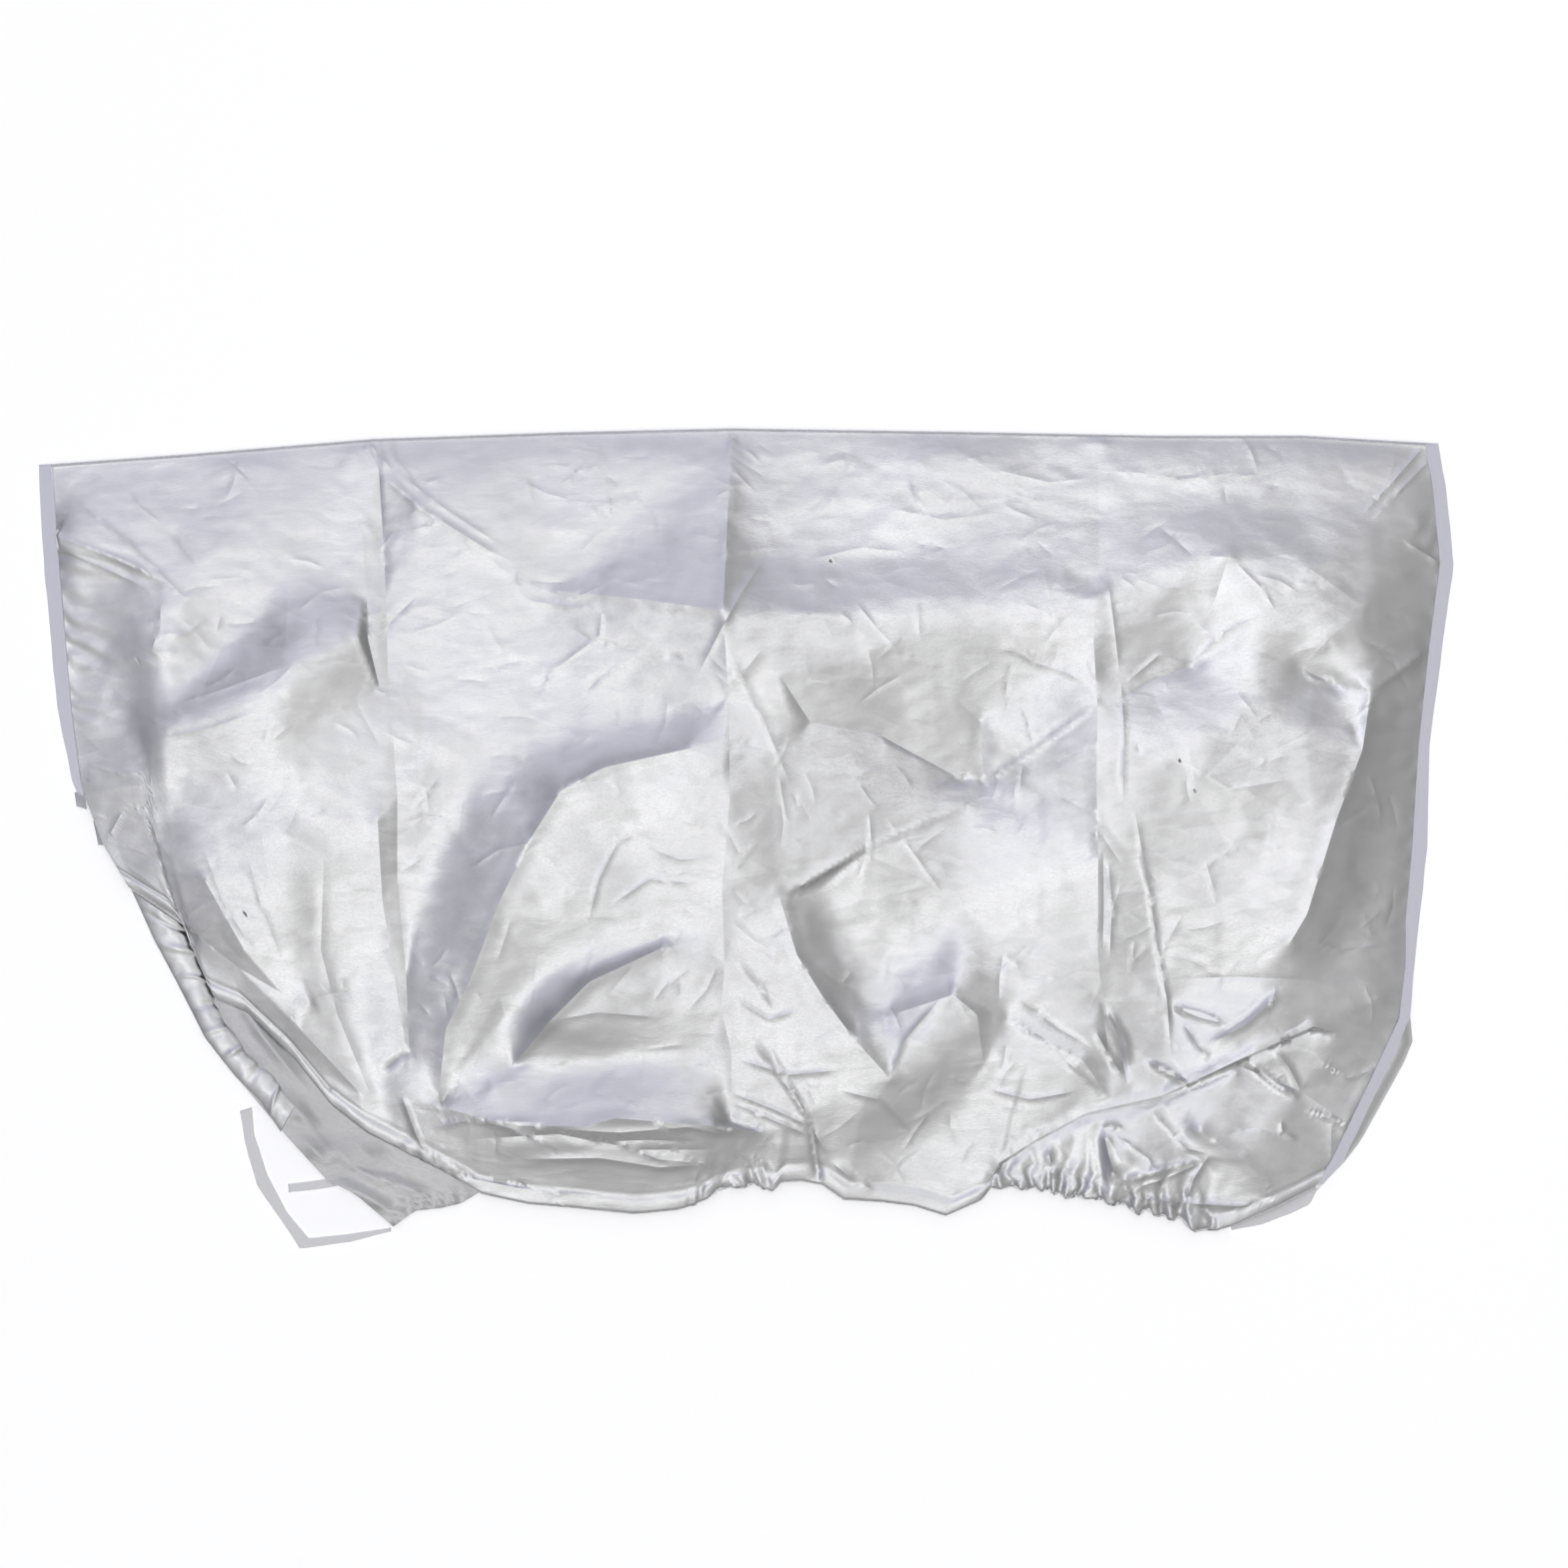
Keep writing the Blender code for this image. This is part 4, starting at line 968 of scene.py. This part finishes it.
def buildFilm():
    outline = filmEdgeInner + film["underCloth"]
    inside = []
    for gx in np.arange(-375, -260, 6.0):
        for gy in np.arange(-302, -192, 6.0):
            hits = 0
            for (ax, ay), (bx, by) in zip(outline, outline[1:] + outline[:1]):
                if (ay > gy) != (by > gy) and gx < ax + (gy - ay) * (bx - ax) / (by - ay):
                    hits += 1
            if hits % 2:
                inside.append((gx, gy))
    ring = len(outline)
    verts, _, faces, _, _, _ = delaunay_2d_cdt([Vector(p) for p in outline + inside],
                                               [(i, (i + 1) % ring) for i in range(ring)],
                                               [list(range(ring))[::-1]], 1, 0.05)
    xy = np.array([tuple(v) for v in verts])
    z = film["height"] + film["wave"] * softNoise(xy[:, 0], xy[:, 1], 26, 51)
    obj = makeMesh("end_film", np.column_stack([xy, z]), [tuple(f) for f in faces], xy)
    area = 0.0
    for face in faces:
        a, b, c = (xy[i] for i in face[:3])
        area += abs((b[0] - a[0]) * (c[1] - a[1]) - (c[0] - a[0]) * (b[1] - a[1])) / 2
    return obj, area


def newMaterial(name):
    material = bpy.data.materials.new(name)
    material.use_nodes = True
    return material, material.node_tree.nodes, material.node_tree.links, \
        material.node_tree.nodes["Principled BSDF"]


def addNode(nodes, kind, place, settings=(), inputs=()):
    node = nodes.new(kind)
    node.location = place
    for key, value in dict(settings).items():
        setattr(node, key, value)
    for key, value in dict(inputs).items():
        node.inputs[key].default_value = value
    return node


# inside: the share of the dull colour kept where painted shade darkens the cloth inside the mouth
# crush: scale along and across the lines, turn in degrees, depth in metres, strength
silver = {"color": (0.72, 0.72, 0.725), "dull": (0.685, 0.685, 0.69), "metal": 0.9, "rough": 0.22,
          "inside": 0.64, "facets": [((26, 62), 12, 0.022), ((70, 170), -9, 0.018)],
          "crush": [((15, 34), 24, 0.0012, 0.3), ((38, 100), -6, 0.0007, 0.3),
                    ((260, 1700), 0, 0.0002, 0.6)]}


def silverMaterial():
    material, nodes, links, shader = newMaterial("silver cloth")
    shader.inputs["Metallic"].default_value = silver["metal"]
    shader.inputs["Anisotropic"].default_value = 0.25
    flat = addNode(nodes, "ShaderNodeUVMap", (-1500, 0), {"uv_map": "flat"})
    # crushed lines at three sizes and angles over a fine woven rib
    faceted = addNode(nodes, "ShaderNodeNewGeometry", (-1500, 900)).outputs["Normal"]
    calm = addNode(nodes, "ShaderNodeTexNoise", (-1300, 1100), inputs={"Scale": 9.0, "Detail": 2.0})
    calmShare = addNode(nodes, "ShaderNodeMapRange", (-1100, 1100),
                        inputs={"From Min": 0.35, "From Max": 0.6, "To Min": 0.35, "To Max": 1.0})
    links.new(flat.outputs["UV"], calm.inputs["Vector"])
    links.new(calm.outputs["Fac"], calmShare.inputs["Value"])
    for k, (scale, turnBy, tilt) in enumerate(silver["facets"]):
        place = addNode(nodes, "ShaderNodeMapping", (-1300, 900 - 250 * k),
                        inputs={"Scale": (*scale, 1), "Rotation": (0, 0, math.radians(turnBy))})
        cells = addNode(nodes, "ShaderNodeTexVoronoi", (-1100, 900 - 250 * k),
                        {"voronoi_dimensions": "2D"}, {"Scale": 1.0, "Randomness": 1.0})
        centred = addNode(nodes, "ShaderNodeVectorMath", (-900, 900 - 250 * k),
                          {"operation": "SUBTRACT"}, {1: (0.5, 0.5, 0.5)})
        scaled = addNode(nodes, "ShaderNodeVectorMath", (-750, 900 - 250 * k),
                         {"operation": "MULTIPLY"}, {1: (tilt * 2, tilt * 2, 0)})
        masked = addNode(nodes, "ShaderNodeVectorMath", (-600, 900 - 250 * k), {"operation": "SCALE"})
        added = addNode(nodes, "ShaderNodeVectorMath", (-450, 900 - 250 * k), {"operation": "ADD"})
        links.new(flat.outputs["UV"], place.inputs["Vector"])
        links.new(place.outputs["Vector"], cells.inputs["Vector"])
        links.new(cells.outputs["Color"], centred.inputs[0])
        links.new(centred.outputs[0], scaled.inputs[0])
        links.new(scaled.outputs[0], masked.inputs[0])
        links.new(calmShare.outputs["Result"], masked.inputs["Scale"])
        links.new(faceted, added.inputs[0])
        links.new(masked.outputs[0], added.inputs[1])
        faceted = added.outputs[0]
    unit = addNode(nodes, "ShaderNodeVectorMath", (-300, 900), {"operation": "NORMALIZE"})
    links.new(faceted, unit.inputs[0])
    normal = unit.outputs[0]
    for k, (scale, turnBy, distance, strength) in enumerate(silver["crush"]):
        place = addNode(nodes, "ShaderNodeMapping", (-1300, 300 - 300 * k),
                        inputs={"Scale": (*scale, 1), "Rotation": (0, 0, math.radians(turnBy))})
        kind = {"noise_type": "RIDGED_MULTIFRACTAL"} if k < 2 else {}
        lines = addNode(nodes, "ShaderNodeTexNoise", (-1100, 300 - 300 * k), kind,
                        {"Scale": 1.0, "Detail": 3.0, "Roughness": 0.5, "Distortion": 0.5})
        bump = addNode(nodes, "ShaderNodeBump", (-700 + 200 * k, -100 - 100 * k),
                       inputs={"Strength": strength, "Distance": distance})
        links.new(flat.outputs["UV"], place.inputs["Vector"])
        links.new(place.outputs["Vector"], lines.inputs["Vector"])
        links.new(lines.outputs["Fac"], bump.inputs["Height"])
        if normal:
            links.new(normal, bump.inputs["Normal"])
        normal = bump.outputs["Normal"]
    links.new(normal, shader.inputs["Normal"])
    # coat a little duller in patches
    patches = addNode(nodes, "ShaderNodeTexNoise", (-900, 420), inputs={"Scale": 14.0, "Detail": 5.0})
    links.new(flat.outputs["UV"], patches.inputs["Vector"])
    tint = addNode(nodes, "ShaderNodeMix", (-500, 420), {"data_type": "RGBA"})
    tint.inputs["A"].default_value = (*silver["dull"], 1)
    tint.inputs["B"].default_value = (*silver["color"], 1)
    links.new(patches.outputs["Fac"], tint.inputs["Factor"])
    # painted shade: the base colour darkens where the inside attribute marks the shaded inside of the
    # mouth
    paintedShadeShare = addNode(nodes, "ShaderNodeAttribute", (-700, 700), {"attribute_name": "inside"})
    inside = addNode(nodes, "ShaderNodeMix", (-300, 420), {"data_type": "RGBA"})
    inside.inputs["B"].default_value = (*(silver["inside"] * c for c in silver["dull"]), 1)
    links.new(paintedShadeShare.outputs["Fac"], inside.inputs["Factor"])
    links.new(tint.outputs["Result"], inside.inputs["A"])
    links.new(inside.outputs["Result"], shader.inputs["Base Color"])
    rough = addNode(nodes, "ShaderNodeMapRange", (-500, 150),
                    inputs={"From Min": 0.3, "From Max": 0.7, "To Min": silver["rough"] + 0.06,
                            "To Max": silver["rough"] - 0.04})
    links.new(patches.outputs["Fac"], rough.inputs["Value"])
    links.new(rough.outputs["Result"], shader.inputs["Roughness"])
    return material


def tapeMaterial(name, dark, light):
    material, nodes, links, shader = newMaterial(name)
    shader.inputs["Roughness"].default_value = 0.82
    shader.inputs["Sheen Weight"].default_value = 0.25
    flat = addNode(nodes, "ShaderNodeUVMap", (-1100, 0), {"uv_map": "flat"})
    turn = addNode(nodes, "ShaderNodeMapping", (-900, 0),
                   inputs={"Rotation": (0, 0, math.radians(38)), "Scale": (1, 1, 1)})
    twill = addNode(nodes, "ShaderNodeTexWave", (-700, 0),
                    inputs={"Scale": 420.0, "Distortion": 0.6, "Detail": 1.0, "Detail Scale": 2.0})
    fuzz = addNode(nodes, "ShaderNodeTexNoise", (-700, -300), inputs={"Scale": 900.0, "Detail": 3.0})
    links.new(flat.outputs["UV"], turn.inputs["Vector"])
    links.new(turn.outputs["Vector"], twill.inputs["Vector"])
    links.new(flat.outputs["UV"], fuzz.inputs["Vector"])
    tint = addNode(nodes, "ShaderNodeMix", (-400, 200), {"data_type": "RGBA"})
    tint.inputs["A"].default_value = (*dark, 1)
    tint.inputs["B"].default_value = (*light, 1)
    links.new(twill.outputs["Fac"], tint.inputs["Factor"])
    links.new(tint.outputs["Result"], shader.inputs["Base Color"])
    bumpA = addNode(nodes, "ShaderNodeBump", (-450, -100),
                    inputs={"Strength": 0.5, "Distance": 0.00018})
    bumpB = addNode(nodes, "ShaderNodeBump", (-250, -200),
                    inputs={"Strength": 0.3, "Distance": 0.0001})
    links.new(twill.outputs["Fac"], bumpA.inputs["Height"])
    links.new(fuzz.outputs["Fac"], bumpB.inputs["Height"])
    links.new(bumpA.outputs["Normal"], bumpB.inputs["Normal"])
    links.new(bumpB.outputs["Normal"], shader.inputs["Normal"])
    return material


def filmMaterial():
    material, nodes, links, shader = newMaterial("clear film")
    shader.inputs["Base Color"].default_value = (0.93, 0.93, 0.95, 1)
    shader.inputs["Roughness"].default_value = 0.18
    shader.inputs["Alpha"].default_value = 0.22
    flat = addNode(nodes, "ShaderNodeUVMap", (-900, 0), {"uv_map": "flat"})
    wave = addNode(nodes, "ShaderNodeTexNoise", (-700, 0), inputs={"Scale": 40.0, "Detail": 3.0})
    bump = addNode(nodes, "ShaderNodeBump", (-400, 0), inputs={"Strength": 0.3, "Distance": 0.0006})
    links.new(flat.outputs["UV"], wave.inputs["Vector"])
    links.new(wave.outputs["Fac"], bump.inputs["Height"])
    links.new(bump.outputs["Normal"], shader.inputs["Normal"])
    return material


def threadMaterial():
    material, nodes, links, shader = newMaterial("thread")
    shader.inputs["Base Color"].default_value = (0.84, 0.84, 0.88, 1)
    shader.inputs["Roughness"].default_value = 0.6
    return material


silverCloth, clearFilm, thread = silverMaterial(), filmMaterial(), threadMaterial()
tapeCloth = tapeMaterial("binding tape", (0.84, 0.835, 0.94), (0.92, 0.915, 0.98))
paleTape = tapeMaterial("pale tape", (0.97, 0.97, 0.99), (1.0, 1.0, 1.0))


def finishPiece(obj, material, nodes=()):
    obj.data.materials.append(material)
    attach(obj, "root")
    if nodes:
        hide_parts(*nodes)


coverObject = buildCloth()
finishPiece(coverObject, silverCloth, ["cover_cloth"])
hemObject, hemLong = buildHemStrip()
finishPiece(hemObject, silverCloth)
finishPiece(buildTabs(), silverCloth)
print("cloth made:", len(coverObject.data.polygons), "triangles")

leftObject, leftInner, leftOuter = sideTape("left_tape", leftTape, -1, 61)
finishPiece(leftObject, tapeCloth, ["side_binding_left"])
rightObject, rightInner, rightOuter = sideTape("right_tape", rightTape, 1, 71)
finishPiece(rightObject, tapeCloth, ["side_binding_right"])
for name, inner, outer in (("left_stitches", leftInner, leftOuter),
                           ("right_stitches", rightInner, rightOuter)):
    line = inner + 0.22 * (outer - inner)
    line[:, 2] += 0.62
    finishPiece(stitches(name, line, 3.1, 2.3, 0.4), thread)

filmObject, filmArea = buildFilm()
finishPiece(filmObject, clearFilm, ["end_film_left"])
strips = [
    ("film_binding", filmEdgeInner, filmEdgeOuter, 0.9, 1.3, "film_binding_left", 81),
    ("film_strap", strapUpper, strapLower, 1.9, 0.9, "film_strap_left", 85),
    ("end_binding", endEdgeInner, endEdgeOuter, 2.8, 1.3, "end_binding_right", 89),
]
for name, first, second, height, thick, node, seed in strips:
    obj, _, _ = ribbon(name, [(x, y, height) for x, y in first], [(x, y, height) for x, y in second],
                       thick, seed)
    finishPiece(obj, paleTape, [node])
print("tapes and film made")

floor = {"size": 6.0, "color": (0.95, 0.95, 0.955), "glow": 0.42}
bpy.ops.mesh.primitive_plane_add(size=floor["size"], location=(0, 0, 0))
floorObject = bpy.context.object
floorObject.name = "floor"
material, nodes, links, shader = newMaterial("floor")
shader.inputs["Base Color"].default_value = (*floor["color"], 1)
shader.inputs["Roughness"].default_value = 0.9
shader.inputs["Specular IOR Level"].default_value = 0.1
shader.inputs["Emission Color"].default_value = (1, 1, 1, 1)
shader.inputs["Emission Strength"].default_value = floor["glow"]
floorObject.data.materials.append(material)

# Soft studio dome: brightest around its centre, duller outwards (share of the way out, level),
# cooler towards the upper left. Spread and skew are how fast it falls off in x and y.
dome = {"strength": 1.75, "centre": (-0.155, -0.21), "spread": (2.4, 1.65), "skew": (-0.4, -0.75),
        "reach": 2.0, "levels": [(0, 1.0), (.08, .96), (.12, .86), (.15, .73), (.182, .63),
                                 (.26, .56), (.36, .46), (.48, .385), (.64, .31), (.85, .25),
                                 (1, .2)],
        "cool": (0.93, 0.935, 1.07), "warm": (1.0, 1.0, 0.995), "coolFrom": (-0.6, 0.8),
        "horizon": 0.6}
world = bpy.data.worlds.new("studio")
bpy.context.scene.world = world
world.use_nodes = True
nodes, links = world.node_tree.nodes, world.node_tree.links
background = nodes["Background"]
direction = addNode(nodes, "ShaderNodeTexCoord", (-1400, 0))
shift = addNode(nodes, "ShaderNodeVectorMath", (-1200, 0), {"operation": "SUBTRACT"},
                {1: (*dome["centre"], 0.0)})
stretch = addNode(nodes, "ShaderNodeVectorMath", (-1000, 0), {"operation": "MULTIPLY"},
                  {1: (*dome["spread"], 0.0)})
size = addNode(nodes, "ShaderNodeVectorMath", (-1000, 150), {"operation": "ABSOLUTE"})
skew = addNode(nodes, "ShaderNodeVectorMath", (-900, 100), {"operation": "MULTIPLY_ADD"},
               {1: (*dome["skew"], 0.0)})
away = addNode(nodes, "ShaderNodeVectorMath", (-800, 0), {"operation": "LENGTH"})
share = addNode(nodes, "ShaderNodeMath", (-650, 0), {"operation": "DIVIDE"}, {1: dome["reach"]})
ramp = addNode(nodes, "ShaderNodeValToRGB", (-500, 0))
links.new(direction.outputs["Generated"], shift.inputs[0])
links.new(shift.outputs[0], stretch.inputs[0])
links.new(shift.outputs[0], size.inputs[0])
links.new(size.outputs[0], skew.inputs[0])
links.new(stretch.outputs[0], skew.inputs[2])
links.new(skew.outputs[0], away.inputs[0])
links.new(away.outputs["Value"], share.inputs[0])
links.new(share.outputs[0], ramp.inputs["Fac"])
stops = ramp.color_ramp.elements
for k, (place, level) in enumerate(dome["levels"]):
    stop = stops[k] if k < 1 else stops.new(place) if k < len(dome["levels"]) - 1 else stops[-1]
    stop.position = place
    stop.color = (level, level, level, 1)
side = addNode(nodes, "ShaderNodeVectorMath", (-1000, -300), {"operation": "DOT_PRODUCT"},
               {1: (*dome["coolFrom"], 0.0)})
links.new(direction.outputs["Generated"], side.inputs[0])
sideShare = addNode(nodes, "ShaderNodeMapRange", (-800, -300), {"interpolation_type": "SMOOTHSTEP"},
                    {"From Min": -0.12, "From Max": 0.5})
links.new(side.outputs["Value"], sideShare.inputs["Value"])
sideTint = addNode(nodes, "ShaderNodeMix", (-600, -300), {"data_type": "RGBA"})
sideTint.inputs["A"].default_value = (*dome["warm"], 1)
sideTint.inputs["B"].default_value = (*dome["cool"], 1)
links.new(sideShare.outputs["Result"], sideTint.inputs["Factor"])
sky = addNode(nodes, "ShaderNodeMix", (-200, 0), {"data_type": "RGBA", "blend_type": "MULTIPLY"})
sky.inputs["Factor"].default_value = 1.0
links.new(ramp.outputs["Color"], sky.inputs["A"])
links.new(sideTint.outputs["Result"], sky.inputs["B"])
links.new(sky.outputs["Result"], background.inputs["Color"])
upward = addNode(nodes, "ShaderNodeSeparateXYZ", (-1000, -500))
low = addNode(nodes, "ShaderNodeMapRange", (-800, -500),
              inputs={"From Min": 0.0, "From Max": 0.5, "To Min": dome["horizon"] * dome["strength"],
                      "To Max": dome["strength"]})
links.new(direction.outputs["Generated"], upward.inputs[0])
links.new(upward.outputs["Z"], low.inputs["Value"])
links.new(low.outputs["Result"], background.inputs["Strength"])

# a large dim softbox high over the upper right
softbox = {"place": (0.42, 0.44, 1.5), "size": (0.85, 0.42), "watts": 0.65}
lightData = bpy.data.lights.new("softbox", "AREA")
lightData.shape = "RECTANGLE"
lightData.size, lightData.size_y = softbox["size"]
lightData.energy = softbox["watts"]
lightObject = bpy.data.objects.new("softbox", lightData)
lightObject.location = softbox["place"]
bpy.context.scene.collection.objects.link(lightObject)

camera = {"x": 0.0284, "y": 0.0406, "lens": 85.0, "width": 1.17675, "level": 0.015}
cameraData = bpy.data.cameras.new("camera")
cameraData.sensor_width = 36.0
cameraData.lens = camera["lens"]
cameraObject = bpy.data.objects.new("camera", cameraData)
cameraObject.location = (camera["x"], camera["y"],
                         camera["level"] + camera["width"] * camera["lens"] / 36.0)
bpy.context.scene.collection.objects.link(cameraObject)
bpy.context.scene.camera = cameraObject
bpy.context.scene.view_settings.view_transform = "Standard"
bpy.context.scene.view_settings.look = "None"
bpy.context.scene.view_settings.exposure = 0.0
print("floor, light and camera set")
